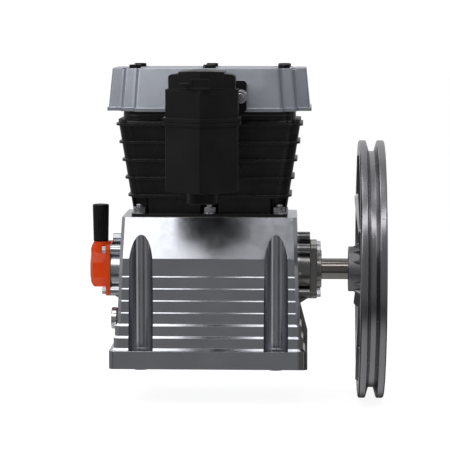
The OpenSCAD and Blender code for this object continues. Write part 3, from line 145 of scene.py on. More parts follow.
class WheelSettings(bpy.types.PropertyGroup):
    """Sizes of the flywheel"""

    diameter: length_property("Diameter", "Outer diameter of the wheel", 300 * MM)
    rim_width: length_property("Rim width", "Width of the rim", 29.5 * MM)
    setback: length_property("Setback", "Distance from the hub's near face to the rim", 11.3 * MM)
    groove_mouth: length_property("Groove mouth", "Width of the belt groove at its mouth", 13 * MM)
    groove_floor: length_property("Groove floor", "Width of the belt groove at its bottom", 6 * MM)
    groove_depth: length_property("Groove depth", "Depth of the belt groove", 12.5 * MM)
    rim_wall: length_property("Rim wall", "Thickness of the rim under the groove", 7 * MM)
    hub_diameter: length_property("Hub", "Outer diameter of the hub", 52.4 * MM)
    hub_length: length_property("Hub length", "Length of the hub", 29 * MM)
    shaft_diameter: length_property("Shaft", "Diameter of the shaft in the hub", 24.4 * MM)
    blades: IntProperty(name="Blades", description="Number of fan-blade spokes", default=6, min=3, max=8)
    blade_width: length_property("Blade width", "Width of a blade", 40 * MM)
    blade_thickness: length_property("Blade thickness", "Thickness of a blade", 7 * MM)
    blade_reach: length_property("Blade reach", "Reach of a blade beside the rim at the hub", 1.5 * MM)
    webs: IntProperty(name="Webs", description="Number of webs round the hub", default=12, min=6, max=24)
    blade_tilt: FloatProperty(
        name="Blade tilt", description="Tilt of a blade at the hub", default=math.radians(62), subtype="ANGLE"
    )
    blade_twist: FloatProperty(
        name="Blade twist", description="Twist from hub to rim", default=math.radians(22), subtype="ANGLE"
    )


class StudioSettings(bpy.types.PropertyGroup):
    """Camera, floor and light"""

    camera_place: FloatVectorProperty(
        name="Camera", description="Place of the camera",
        default=(0.112, -2.458, 0.4007), subtype="XYZ", unit="LENGTH",
    )
    camera_aim: FloatVectorProperty(
        name="Aim", description="Direction that the camera looks in",
        default=(-0.03894, 1.0, -0.09924), subtype="XYZ",
    )
    camera_lens: FloatProperty(
        name="Lens", description="Focal length on a 36 mm sensor", default=169.4, min=20, max=400
    )
    floor_gap: length_property("Floor gap", "Air between the flywheel and the floor", 1.0 * MM)
    floor_front: length_property("Floor front", "Reach of the floor in front of the pump", 0.42)
    floor_size: length_property("Floor size", "Width and depth of the floor", 14.0)
    floor_glow: FloatProperty(name="Floor glow", description="Light through the floor", default=0.9, min=0)
    base_light: FloatProperty(name="Base light", description="Light in the room's dark parts", default=0.03)
    seen_white: FloatProperty(name="Background", description="White behind the pump", default=1.05, min=0)


# Materials


class Nodes:
    """A node tree, with short calls for the nodes that the finishes and the sky share."""

    def __init__(self, tree):
        self.tree = tree

    def add(self, kind, inputs=None, **settings):
        made = self.tree.nodes.new(kind)
        for key, value in settings.items():
            setattr(made, key, value)
        for key, value in (inputs or {}).items():
            self.give(made.inputs[key], value)
        return made

    def give(self, socket, value):
        if isinstance(value, bpy.types.NodeSocket):
            self.tree.links.new(value, socket)
        elif hasattr(value, "__len__") and len(value) == 3 and socket.type == "RGBA":
            socket.default_value = (*value, 1.0)
        else:
            socket.default_value = value

    def remap(self, value, low, high, to_low=0.0, to_high=1.0, curve="LINEAR"):
        inputs = {"Value": value, "From Min": low, "From Max": high, "To Min": to_low, "To Max": to_high}
        return self.add("ShaderNodeMapRange", inputs, interpolation_type=curve).outputs["Result"]

    def spread(self, noise, to_low=0.0, to_high=1.0):
        """A noise's usual range, spread over another."""
        return self.remap(noise, 0.3, 0.7, to_low, to_high)

    def mix(self, factor, first, second):
        inputs = {"Factor": factor, 6: first, 7: second}
        return self.add("ShaderNodeMix", inputs, data_type="RGBA").outputs[2]

    def math(self, operation, first, second=0.0):
        return self.add("ShaderNodeMath", {0: first, 1: second}, operation=operation).outputs[0]

    def times(self, first, second):
        return self.math("MULTIPLY", first, second)

    def split(self, vector):
        return self.add("ShaderNodeSeparateXYZ", {"Vector": vector}).outputs


class Surface(Nodes):
    """One node material on a Principled shader, with patterns on the object's own place."""

    def __init__(self, name):
        self.material = bpy.data.materials.new(name)
        self.material.use_nodes = True
        super().__init__(self.material.node_tree)
        self.shader = self.tree.nodes["Principled BSDF"]
        self.place = self.add("ShaderNodeTexCoord").outputs["Object"]

    def set(self, **values):
        for key, value in values.items():
            self.give(self.shader.inputs[key.replace("_", " ")], value)

    def shades(self, mask, colour, low, high):
        """A colour from one shade to another."""
        return self.mix(mask, darker(colour, low), darker(colour, high))

    def noise(self, size, detail=3.0, stretch=(1, 1, 1)):
        """Noise with features of about this size, in metres."""
        place = self.add("ShaderNodeMapping", {"Vector": self.place, "Scale": stretch}).outputs["Vector"]
        inputs = {"Vector": place, "Scale": 1 / size, "Detail": detail, "Roughness": 0.55}
        return self.add("ShaderNodeTexNoise", inputs).outputs["Fac"]

    def cells(self, size):
        inputs = {"Vector": self.place, "Scale": 1 / size}
        return self.add("ShaderNodeTexVoronoi", inputs).outputs["Distance"]

    def round_edges(self, radius):
        return self.add("ShaderNodeBevel", {"Radius": radius}, samples=6).outputs["Normal"]

    def edge_mask(self, radius):
        """One along convex and concave edges, fading to zero within the radius."""
        true = self.add("ShaderNodeNewGeometry").outputs["Normal"]
        inputs = {0: self.round_edges(radius), 1: true}
        dot = self.add("ShaderNodeVectorMath", inputs, operation="DOT_PRODUCT").outputs["Value"]
        return self.remap(dot, 0.995, 0.86)

    def bump(self, layers, normal=None):
        """Adds height layers, each (height, depth in metres, strength), on top of each other."""
        for height, depth, strength in layers:
            inputs = {"Height": height, "Distance": depth, "Strength": strength}
            if normal is not None:
                inputs["Normal"] = normal
            normal = self.add("ShaderNodeBump", inputs).outputs["Normal"]
        self.give(self.shader.inputs["Normal"], normal)


def darker(colour, factor):
    return tuple(min(1.0, c * factor) for c in colour)


def casting(name, colour, roughness, grain, depth, wave=0.00006, edge_wear_and_highlight=1.2, painted_shade_from=None):
    """Bare cast aluminium: faint clouds and stains, fine skin, edges lighter from rubbed wear and a painted
    highlight, and past a given X a painted shade with a brown painted reflection.
    """
    s = Surface(name)
    edge = 0.9 * MM
    tone = s.shades(s.spread(s.noise(0.05, 3)), colour, 0.93, 1.05)
    stain = s.remap(s.noise(0.02, 5), 0.58, 0.76)
    tone = s.mix(s.times(stain, 0.16), tone, darker(colour, 0.7))
    speck = s.remap(s.noise(0.0035, 4), 0.72, 0.78)
    tone = s.mix(s.times(speck, 0.3), tone, darker(colour, 0.45))
    # Lighter along edges and creases: partly rubbed wear, partly a painted highlight
    tone = s.mix(s.times(s.edge_mask(edge), 0.5), tone, darker(colour, edge_wear_and_highlight))
    # Painted shade with a brown painted reflection on the right end, past the given X
    if painted_shade_from:
        painted_shade = s.remap(s.split(s.place)["X"], painted_shade_from, painted_shade_from + 0.003, 0, 0.62)
        tone = s.mix(painted_shade, tone, (0.13, 0.11, 0.095))
    rough = s.spread(s.noise(0.012, 4), roughness - 0.03, roughness + 0.05)
    s.set(Base_Color=tone, Metallic=1.0, Roughness=rough)
    s.bump([(s.noise(grain, 3), depth, 0.5), (s.noise(0.018, 2), wave, 0.3)], s.round_edges(edge * 0.6))
    return s.material


def painted_iron(name, colour, roughness):
    """Satin paint over a sand casting, thin, its edges grey from wear and a painted highlight."""
    s = Surface(name)
    edge = 0.9 * MM
    sand = s.noise(0.0013, 5)
    pits = s.remap(s.cells(0.0035), 0.0, 0.35)
    # Grey along edges: partly worn paint, partly a painted highlight
    wear_and_highlight = s.times(s.edge_mask(edge), s.remap(s.noise(0.006, 5), 0.42, 0.62))
    tone = s.shades(s.remap(s.noise(0.03, 4), 0.35, 0.7), colour, 0.7, 1.5)
    tone = s.mix(s.times(wear_and_highlight, 0.35), tone, (0.07, 0.065, 0.06))
    s.set(Base_Color=tone, Roughness=s.spread(sand, roughness - 0.07, roughness + 0.1))
    s.set(Specular_IOR_Level=0.4)
    swell = s.noise(0.011, 3)
    s.bump([(sand, 0.00022, 0.7), (pits, 0.00018, 0.3), (swell, 0.0006, 0.3)], s.round_edges(edge))
    return s.material


def moulded_plastic(name, colour, roughness):
    """Black moulded plastic: fine spark grain, faint dust and scuffs, softly rounded edges, lighter from
    rubbing and a painted highlight.
    """
    s = Surface(name)
    dust = s.remap(s.noise(0.0016, 6), 0.70, 0.80)
    scuff = s.remap(s.noise(0.014, 5, (1, 1, 0.25)), 0.6, 0.72)
    tone = s.shades(s.spread(s.noise(0.04, 3)), colour, 0.8, 1.4)
    # Lighter along edges: partly rubbed, partly a painted highlight
    tone = s.mix(s.times(s.edge_mask(0.0012), 0.25), tone, darker(colour, 3.0))
    tone = s.mix(s.times(dust, 0.12), tone, (0.12, 0.11, 0.10))
    rough = s.math("SUBTRACT", s.spread(s.noise(0.02, 3), roughness - 0.05, roughness + 0.08),
                   s.times(scuff, 0.1))
    s.set(Base_Color=tone, Roughness=rough, Specular_IOR_Level=0.19)
    s.bump([(s.noise(0.0006, 2), 0.00007, 0.5), (s.noise(0.03, 2), 0.0005, 0.15)], s.round_edges(0.0011))
    return s.material


def cover_paint(name, colour):
    """Orange paint with a soft gloss over a casting, lighter along its edges and in its corners, with dark
    specks.
    """
    s = Surface(name)
    tone = s.shades(s.remap(s.noise(0.012, 4), 0.35, 0.7), colour, 0.88, 1.05)
    tone = s.mix(s.times(s.edge_mask(0.0009), 0.4), tone, (0.9, 0.2, 0.04))
    speck = s.remap(s.noise(0.0022, 5), 0.68, 0.76)
    tone = s.mix(s.times(speck, 0.3), tone, (0.25, 0.03, 0.005))
    s.set(Base_Color=tone, Roughness=s.spread(s.noise(0.004, 3), 0.34, 0.48))
    s.set(Specular_IOR_Level=0.25, Coat_Weight=0.08, Coat_Roughness=0.2)
    s.bump([(s.noise(0.0016, 3), 0.00014, 0.4), (s.noise(0.009, 2), 0.0004, 0.2)], s.round_edges(0.0008))
    return s.material


def plated_steel(name, colour, roughness, brush=0.0, rust=0.0):
    """Zinc, nickel or oxide on steel: slight cloud in tone and gloss, bright edges."""
    s = Surface(name)
    tone = s.shades(s.remap(s.noise(0.003, 4), 0.35, 0.7), colour, 0.8, 1.1)
    tone = s.mix(s.times(s.edge_mask(0.0004), 0.5), tone, darker(colour, 1.4))
    if rust:
        spots = s.times(s.remap(s.noise(0.004, 5), 0.5, 0.62), rust)
        tone = s.mix(spots, tone, (0.22, 0.085, 0.03))
    s.set(Base_Color=tone, Metallic=1.0,
          Roughness=s.spread(s.noise(0.0012, 3), roughness - 0.05, roughness + 0.1))
    s.bump([(s.noise(0.0007, 3), 0.00004, 0.4 + brush)], s.round_edges(0.0003))
    return s.material


def from_line(s, y, z):
    """Distance from a line along X, height over it, and length along it."""
    parts = s.split(s.place)
    across, up = s.math("SUBTRACT", parts["Y"], y), s.math("SUBTRACT", parts["Z"], z)
    squares = s.math("ADD", s.times(across, across), s.times(up, up))
    return s.math("SQRT", squares), up, parts["X"]


def ground_shaft(name):
    """Ground steel shaft with faint turning lines and an oily brown tone."""
    s = Surface(name)
    lines = s.noise(0.02, 6, (60, 1, 1))
    tone = s.mix(s.remap(lines, 0.35, 0.65), (0.24, 0.22, 0.21), (0.32, 0.295, 0.28))
    tone = s.mix(s.remap(s.noise(0.008, 5), 0.6, 0.75, 0, 0.35), tone, (0.17, 0.12, 0.09))
    s.set(Base_Color=tone, Metallic=1.0, Roughness=s.spread(lines, 0.1, 0.16))
    s.bump([(lines, 0.00003, 0.4)], s.round_edges(0.0004))
    return s.material


def turned_wheel(name, colour, rust):
    """Flywheel iron: turned rim with fine rings, sand-cast hub and blades, small rust marks."""
    s = Surface(name)
    radius, _, along = from_line(s, 0.0, CRANK_Z)
    groups = s.add("ShaderNodeCombineXYZ", {"X": along, "Y": radius, "Z": 0.0}).outputs["Vector"]
    rings = s.add("ShaderNodeTexNoise", {"Vector": groups, "Scale": 450.0, "Detail": 2.0}).outputs["Fac"]
    rim = s.remap(radius, *TURNED_FROM)
    rough_cast = s.noise(0.0022, 3)
    smear = s.noise(0.03, 4)
    turned = s.shades(s.remap(rings, 0.35, 0.65), colour, 0.95, 1.1)
    cast = s.shades(s.remap(smear, 0.35, 0.7), colour, 0.8, 1.15)
    tone = s.mix(rim, cast, turned)
    spots = s.times(s.remap(s.noise(0.005, 6), 0.65, 0.71), s.remap(smear, 0.5, 0.62))
    tone = s.mix(s.times(spots, 0.85), tone, rust)
    rough = s.math("ADD", s.remap(rim, 0, 1, 0.42, 0.27), s.times(spots, 0.35))
    s.set(Base_Color=tone, Metallic=s.math("SUBTRACT", 1.0, s.times(spots, 0.4)), Roughness=rough)
    cast_depth = s.times(rough_cast, s.math("SUBTRACT", 1.0, rim))
    ring_depth = s.times(rings, rim)
    s.bump([(cast_depth, 0.00015, 0.4), (ring_depth, 0.000004, 0.2)])
    return s.material


def pressed_paper(name, colour):
    s = Surface(name)
    fibre = s.noise(0.0008, 6, (1, 1, 2))
    s.set(Base_Color=s.shades(fibre, colour, 0.7, 1.2), Roughness=0.85)
    s.bump([(fibre, 0.00006, 0.6)])
    return s.material


def soft_rubber(name, colour):
    s = Surface(name)
    s.set(Base_Color=s.shades(s.noise(0.004, 4), colour, 0.7, 1.3), Roughness=0.6)
    s.bump([(s.noise(0.0005, 3), 0.00005, 0.5)])
    return s.material


def open_foam(name, colour):
    s = Surface(name)
    holes = s.remap(s.cells(0.0022), 0.1, 0.6)
    s.set(Base_Color=s.mix(holes, darker(colour, 0.25), colour), Roughness=0.9)
    s.bump([(holes, 0.0006, 1.0)])
    return s.material


def oil_window(name):
    """Clear window over a pale disc with a red dot, with oil in its lower half."""
    s = Surface(name)
    low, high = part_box("oil_sight_lens")
    radius, up, _ = from_line(s, (low[1] + high[1]) / 2, (low[2] + high[2]) / 2)
    dot = s.remap(radius, 0.0034, 0.0028)
    oil = s.remap(s.math("ADD", up, s.times(s.noise(0.01), 0.0006)), 0.0012, 0.0002)
    tone = s.mix(oil, (0.62, 0.58, 0.5), (0.36, 0.15, 0.04))
    s.set(Base_Color=s.mix(dot, tone, (0.55, 0.02, 0.015)), Roughness=0.12)
    s.set(Coat_Weight=1.0, Coat_Roughness=0.03)
    s.bump([(s.noise(0.006, 2), 0.0001, 0.2)])
    return s.material


def make_finishes(look):
    """Every finish of the pump, by the slot that wears it."""
    return {
        "gloss_aluminium": casting(
            "polished_die_casting", look.crankcase_colour, 0.2, 0.0007, 0.00001, 0.00002,
            painted_shade_from=PAINTED_SHADE_FROM_X,
        ),
        "cast_aluminium": casting("satin_die_casting", look.head_colour, 0.33, 0.0011, 0.00006, 0.0003, 1.35),
        "black_iron": painted_iron("black_block_paint", look.block_colour, 0.3),
        "black_plastic": moulded_plastic("black_filter_plastic", look.plastic_colour, 0.4),
        "orange": cover_paint("orange_cover_paint", look.cover_colour),
        "gasket": pressed_paper("gasket_paper", (0.15, 0.135, 0.12)),
        "zinc": plated_steel("zinc_plate", (0.60, 0.61, 0.64), 0.26),
        "black_steel": plated_steel("black_oxide", (0.03, 0.029, 0.028), 0.36),
        "polished_steel": ground_shaft("ground_steel"),
        "dark_metal": casting("dark_bearing_cover", (0.30, 0.295, 0.29), 0.26, 0.0007, 0.00002, 0.00008, 1.8),
        "wheel_iron": turned_wheel("turned_wheel_iron", look.wheel_colour, look.rust_colour),
        "chrome": plated_steel("bright_plate", (0.80, 0.80, 0.81), 0.1),
        "lens": oil_window("oil_window"),
        "brass": plated_steel("turned_brass", (0.62, 0.43, 0.17), 0.28, 0.2),
        "seal_rubber": soft_rubber("seal_rubber", (0.035, 0.02, 0.017)),
        "foam": open_foam("filter_foam", (0.4, 0.37, 0.25)),
        "bright_aluminium": casting("machined_aluminium", (0.7, 0.71, 0.72), 0.3, 0.0008, 0.00004),
        "rusty_zinc": plated_steel("rusty_zinc_plate", (0.60, 0.61, 0.64), 0.3, 0.0, 0.9),
    }


FINISHES = {}


# Modelling helpers


def pick(obj):
    """Makes one object the only one selected."""
    bpy.ops.object.select_all(action="DESELECT")
    obj.select_set(True)
    bpy.context.view_layer.objects.active = obj


def wear(obj, slot_name, finish=None):
    obj.data.materials.clear()
    obj.data.materials.append(FINISHES[finish or slot_name])


def apply_modifiers(obj):
    pick(obj)
    for modifier in list(obj.modifiers):
        bpy.ops.object.modifier_apply(modifier=modifier.name)


def even_shading(obj):
    """Keeps large faces flat where they meet rounded edges."""
    made = obj.modifiers.new("even", "WEIGHTED_NORMAL")
    made.keep_sharp = True
    made.weight = 100
    made.mode = "FACE_AREA"
    apply_modifiers(obj)


def bevel(obj, width, segments, degrees=28):
    made = obj.modifiers.new("edge", "BEVEL")
    made.width = width
    made.segments = segments
    made.limit_method = "ANGLE"
    made.angle_limit = math.radians(degrees)
    made.use_clamp_overlap = True
    apply_modifiers(obj)


def keep_shared(obj, tool):
    """Keeps of one piece what another also fills, and throws the other away."""
    made = obj.modifiers.new("cut", "BOOLEAN")
    made.object = tool
    made.operation = "INTERSECT"
    made.solver = "EXACT"
    apply_modifiers(obj)
    bpy.data.objects.remove(tool)


def leave_edit():
    bpy.ops.object.mode_set(mode="OBJECT")


def take_all():
    bpy.ops.mesh.select_all(action="SELECT")


def join(pieces):
    pick(pieces[0])
    for piece in pieces[1:]:
        piece.select_set(True)
    bpy.ops.object.join()
    return pieces[0]


def place_in_mesh(obj):
    """Moves an object's place, turn and size into its mesh."""
    pick(obj)
    bpy.ops.object.transform_apply(location=True, rotation=True, scale=True)


def settle(obj, name, node_name, slot_name, smooth_degrees=35, finish=None):
    """Names a finished piece, gives it its finish and lets it stand for its solid."""
    obj.name = name
    obj.data.name = name
    place_in_mesh(obj)
    bpy.ops.object.shade_smooth_by_angle(angle=math.radians(smooth_degrees))
    even_shading(obj)
    wear(obj, slot_name, finish)
    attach(obj, NODES[node_name]["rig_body"])
    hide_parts(node_name)


def put(obj, place, turn=(0, 0, 0)):
    """Turns a piece by degrees and moves it."""
    obj.rotation_euler = [math.radians(angle) for angle in turn]
    obj.location = place
    return obj


def copy_at(source, place, turn=(0, 0, 0)):
    """A copy of a piece with its own mesh, turned and moved."""
    made = source.copy()
    made.data = source.data.copy()
    bpy.context.scene.collection.objects.link(made)
    return put(made, place, turn)


def clean_copy(node_name):
    """A copy of a solid with its loose triangles joined into whole faces."""
    source = NODES[node_name]
    made = bpy.data.objects.new(node_name + "_copy", source.data.copy())
    bpy.context.scene.collection.objects.link(made)
    pick(made)
    bpy.ops.object.mode_set(mode="EDIT")
    take_all()
    bpy.ops.mesh.remove_doubles(threshold=2e-6)
    bpy.ops.mesh.dissolve_limited(angle_limit=math.radians(0.6))
    bpy.ops.mesh.normals_make_consistent(inside=False)
    leave_edit()
    return made


def rounded_solid(node_name, slot_name, width, degrees=28):
    """The solid itself, with its sharp edges rounded."""
    made = clean_copy(node_name)
    bevel(made, width, bpy.context.scene.pump_finish.edge_segments, degrees)
    settle(made, node_name + "_rounded", node_name, slot_name)


def choose(obj, kind, mode, test):
    """Selects what passes a test among a mesh's points or faces, and leaves it in edit mode."""
    pick(obj)
    for part in (obj.data.polygons, obj.data.edges, obj.data.vertices):
        part.foreach_set("select", [False] * len(part))
    for item in getattr(obj.data, kind):
        item.select = test(item)
    bpy.ops.object.mode_set(mode="EDIT")
    bpy.ops.mesh.select_mode(type=mode)


def choose_points(obj, test):
    choose(obj, "vertices", "VERT", lambda point: test(point.co))


def choose_faces(obj, test):
    """Selects the faces whose middle and normal pass a test."""
    choose(obj, "polygons", "FACE", lambda face: test(face.center, face.normal))


def solid_block(place, size, turn=0):
    """A block with its middle at a place, turned about Z."""
    bpy.ops.object.select_all(action="DESELECT")
    bpy.ops.mesh.primitive_cube_add(size=1, location=place)
    made = bpy.context.object
    made.scale = size
    made.rotation_euler = (0, 0, turn)
    place_in_mesh(made)
    return made


def trim(obj, planes):
    """Cuts off what lies past each plane, given by a point and its direction, and closes the cut."""
    pick(obj)
    bpy.ops.object.mode_set(mode="EDIT")
    for place, normal in planes:
        take_all()
        bpy.ops.mesh.bisect(plane_co=place, plane_no=normal, use_fill=True, clear_outer=True)
    take_all()
    bpy.ops.mesh.normals_make_consistent(inside=False)
    leave_edit()


def turned_piece(profile, steps=48):
    """A turned solid about Z: a profile of (radius, height) points, drawn point by point and spun."""
    bpy.ops.object.select_all(action="DESELECT")
    bpy.ops.mesh.primitive_plane_add(size=1)
    made = bpy.context.object
    bpy.ops.object.mode_set(mode="EDIT")
    take_all()
    bpy.ops.mesh.merge(type="CENTER")
    bpy.ops.mesh.select_mode(type="VERT")
    take_all()
    bpy.ops.transform.translate(value=(profile[0][0], 0, profile[0][1]))
    for (r0, z0), (r1, z1) in zip(profile, profile[1:]):
        bpy.ops.mesh.extrude_region_move(TRANSFORM_OT_translate={"value": (r1 - r0, 0, z1 - z0)})
    take_all()
    bpy.ops.mesh.spin(steps=steps, angle=FULL_TURN, center=(0, 0, 0), axis=(0, 0, 1))
    take_all()
    bpy.ops.mesh.remove_doubles(threshold=1e-6)
    bpy.ops.mesh.normals_make_consistent(inside=False)
    leave_edit()
    return made


def softened(profile, radius, closed=True, cuts=3):
    """The same profile with its corners rounded; corners on the axis stay."""
    points = [Vector(p) for p in (profile[:-1] if closed else profile)]
    count = len(points)
    out = []
    for i, corner in enumerate(points):
        if not closed and i in (0, count - 1):
            out.append(tuple(corner))
            continue
        before, after = points[i - 1] - corner, points[(i + 1) % count] - corner
        reach = min(radius, before.length * 0.45, after.length * 0.45)
        start, end = corner + before.normalized() * reach, corner + after.normalized() * reach
        for k in range(cuts + 1):
            t = k / cuts
            out.append(tuple(start * (1 - t) ** 2 + corner * 2 * t * (1 - t) + end * t ** 2))
    return out + [out[0]] if closed else out


def soft_ring(inner, outer, low, high, radius, steps=48):
    """A turned ring with rounded corners."""
    corners = [(inner, low), (outer, low), (outer, high), (inner, high), (inner, low)]
    return turned_piece(softened(corners, radius), steps)


def hex_solid(flats, height, both_ends=False):
    """A hexagon bar with its corners turned off at the top, as on a bolt's head or a nut."""
    corner_r = flats / math.sqrt(3)
    face_r = flats * 0.475
    drop = (corner_r - face_r) * math.tan(math.radians(30))
    foot = [(0, 0), (face_r, 0), (corner_r, drop)] if both_ends else [(0, 0), (corner_r, 0)]
    made = turned_piece(foot + [(corner_r, height - drop), (face_r, height), (0, height)])
    bpy.ops.object.select_all(action="DESELECT")
    middle = (0, 0, height / 2)
    bpy.ops.mesh.primitive_cylinder_add(vertices=6, radius=corner_r, depth=3 * height, location=middle)
    keep_shared(made, bpy.context.object)
    bevel(made, bpy.context.scene.pump_finish.fine_edge, 2)
    return made


def threaded_bar(diameter, length, threaded, pitch):
    """A round bar with threads as rings along its last stretch, up to a chamfered tip."""
    r, root = diameter / 2, diameter / 2 - pitch * 0.5
    z = length - threaded
    profile = [(0, 0), (r, 0), (r, z)]
    while z + 2 * pitch < length:
        profile += [(root, z + pitch * 0.45), (root, z + pitch * 0.55), (r, z + pitch)]
        z += pitch
    profile += [(r, length - pitch * 0.6), (root, length), (0, length)]
    return turned_piece(profile, 32)


def middles(node_name, flats):
    """The places of three hexagons at the front and three at the back, from a node's box."""
    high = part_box(node_name)[1]
    pitch, off = high[0] - flats / math.sqrt(3), high[1] - flats / 2
    return [(i * pitch, side * off) for side in (-1, 1) for i in (-1, 0, 1)]


# Operators


class PUMP_OT_finishes(bpy.types.Operator):
    """Make every finish and put it on the solids"""

    bl_idname = "pump.finishes"
    bl_label = "Finishes"

    def execute(self, context):
        FINISHES.update(make_finishes(context.scene.pump_finish))
        for row in frame["record"]["subparts"]:
            wear(NODES[row["node"]], row["material_slot"])
        return {"FINISHED"}


class PUMP_OT_castings(bpy.types.Operator):
    """Round the edges of the castings"""

    bl_idname = "pump.castings"
    bl_label = "Castings"

    def execute(self, context):
        look = context.scene.pump_finish
        for name, slot_name, edge in (
            ("crankcase", "gloss_aluminium", look.casting_edge),
            ("cylinder_block", "black_iron", look.block_edge),
            ("cylinder_head", "cast_aluminium", look.casting_edge),
        ):
            rounded_solid(name, slot_name, edge, CREASE)
        return {"FINISHED"}


class PUMP_OT_air_filter(bpy.types.Operator):
    """Round the edges of the filter's shells and lid, and add the lid's arch, latch and shelf"""

    bl_idname = "pump.air_filter"
    bl_label = "Air filter"

    def execute(self, context):
        look = context.scene.pump_finish
        for name in ("filter_body", "filter_base", "filter_lid"):
            rounded_solid(name, "black_plastic", look.plastic_edge)
        low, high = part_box("filter_lid")
        middle, front = (low[0] + high[0]) / 2, low[1]
        self.arch(middle)
        self.latch(middle, front)
        self.shelf(middle, front)
        return {"FINISHED"}

    def arch(self, middle):
        """The round band that stands a little out of the lid's top and sides."""
        made = clean_copy("filter_lid")
        half, stretch, middle_y, lift = 24.6 * MM, 1.025, -132 * MM, 0.4 * MM
        sides = [((middle + side * half, 0, 0), (side, 0, 0)) for side in (-1, 1)]
        trim(made, sides + [((0, 0, LATCH_FOOT_Z), (0, 0, -1))])
        choose_faces(made, lambda place, normal: abs(normal.y) > 0.5)
        bpy.ops.transform.resize(value=(1, stretch, 1), center_override=(middle, middle_y, 0))
        leave_edit()
        choose_faces(made, lambda place, normal: normal.z > 0.5)
        bpy.ops.transform.translate(value=(0, 0, lift))
        leave_edit()
        bevel(made, 1.0 * MM, 3)
        settle(made, "lid_arch", "filter_lid", "black_plastic")

    def shelf(self, middle, front):
        """The small ledge on the left of the tab."""
        place = (middle - 16.5 * MM, front + 7.2 * MM, LATCH_FOOT_Z + 6.4 * MM)
        made = solid_block(place, (12 * MM, 12 * MM, 2.8 * MM))
        bevel(made, 0.8 * MM, 3)
        settle(made, "lid_shelf", "filter_lid", "black_plastic")

    def latch(self, middle, front):
        """The tab that lifts the lid: a plate with round shoulders and a shallow hollow."""
        width, height, depth = 21.8 * MM, 12.6 * MM, 12 * MM
        place = (middle, front - 1.9 * MM + depth / 2, LATCH_FOOT_Z + height / 2)
        made = solid_block(place, (width, depth, height))
        top = LATCH_FOOT_Z + height * 0.9
        for side in (-1, 1):
            choose_points(made, lambda p: side * (p.x - middle) > width * 0.45 and p.z > top)
            bpy.ops.mesh.bevel(offset=2.4 * MM, segments=5, affect="EDGES")
            leave_edit()
        choose_faces(made, lambda place, normal: normal.y < -0.9)
        bpy.ops.mesh.inset(thickness=2.3 * MM, depth=0)
        bpy.ops.mesh.inset(thickness=0.5 * MM, depth=-0.9 * MM)
        leave_edit()
        bevel(made, 0.5 * MM, 2)
        settle(made, "lid_latch", "filter_lid", "black_plastic")


class PUMP_OT_end_covers(bpy.types.Operator):
    """Shape the domed end of the orange cover, and round both end covers"""

    bl_idname = "pump.end_covers"
    bl_label = "End covers"

    def execute(self, context):
        look = context.scene.pump_finish
        cover = clean_copy("end_cover")
        shoulder_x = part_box("end_cover")[0][0] + 3.9 * MM
        trim(cover, [((shoulder_x, 0, 0), (-1, 0, 0))])
        choose_faces(cover, lambda middle, normal: abs(middle.x - shoulder_x) < 1e-5 and normal.x < -0.9)
        narrower = 0.86
        for step in (2.4 * MM, 1.2 * MM):
            bpy.ops.mesh.extrude_region_move(TRANSFORM_OT_translate={"value": (-step, 0, 0)})
            bpy.ops.transform.resize(value=(1, narrower, narrower), center_override=(shoulder_x, 0, CRANK_Z))
        leave_edit()
        bevel(cover, look.casting_edge, look.edge_segments)
        settle(cover, "end_cover_rounded", "end_cover", "orange")
        rounded_solid("seal_cover", "dark_metal", look.casting_edge)
        return {"FINISHED"}


class PUMP_OT_stud_nuts(bpy.types.Operator):
    """Make the studs, washers and nuts that hold the block"""

    bl_idname = "pump.stud_nuts"
    bl_label = "Studs and nuts"

    def execute(self, context):
        size = context.scene.pump_fasteners
        low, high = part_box("block_nuts")
        stud_low, stud_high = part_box("block_studs")
        washer_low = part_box("block_washers")[0]
        nut = hex_solid(size.nut_flats, high[2] - low[2], both_ends=True)
        threaded, washer_t, washer_edge = 14 * MM, low[2] - washer_low[2], 0.3 * MM
        stud = threaded_bar(size.stud_diameter, stud_high[2] - stud_low[2], threaded, size.thread_pitch)
        washer = soft_ring(size.stud_diameter / 2, size.washer_diameter / 2, 0, washer_t, washer_edge)
        turns = (0, 14, 2, -9, 25, 7)
        for i, ((x, y), turn) in enumerate(zip(middles("block_nuts", size.nut_flats), turns), 1):
            finish = "rusty_zinc" if i == RUSTY_NUT else None
            made = copy_at(nut, (x, y, low[2]), (0, 0, turn))
            settle(made, f"block_nut_{i}", "block_nuts", "zinc", HEX_SMOOTH, finish)
            settle(copy_at(stud, (x, y, stud_low[2])), f"block_stud_{i}", "block_studs", "zinc", HEX_SMOOTH)
            settle(copy_at(washer, (x, y, washer_low[2])), f"block_washer_{i}", "block_washers", "zinc")
        for done in (nut, stud, washer):
            bpy.data.objects.remove(done)
        return {"FINISHED"}


class PUMP_OT_head_bolts(bpy.types.Operator):
    """Make the black bolts of the cylinder head"""

    bl_idname = "pump.head_bolts"
    bl_label = "Head bolts"

    def execute(self, context):
        size = context.scene.pump_fasteners
        low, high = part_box("head_bolts")
        head_h, overlap = 5.5 * MM, 0.1 * MM
        seat = high[2] - head_h
        foot, radius = low[2] - seat, size.stud_diameter / 2
        head = hex_solid(size.nut_flats, head_h)
        shank = turned_piece([(0, foot), (radius, foot), (radius, overlap), (0, overlap)], 32)
        bolt = join([head, shank])
        turns = (8, 20, 3, 17, -6, 28)
        for i, ((x, y), turn) in enumerate(zip(middles("head_bolts", size.nut_flats), turns), 1):
            made = copy_at(bolt, (x, y, seat), (0, 0, turn))
            settle(made, f"head_bolt_{i}", "head_bolts", "black_steel", HEX_SMOOTH)
        bpy.data.objects.remove(bolt)
        return {"FINISHED"}


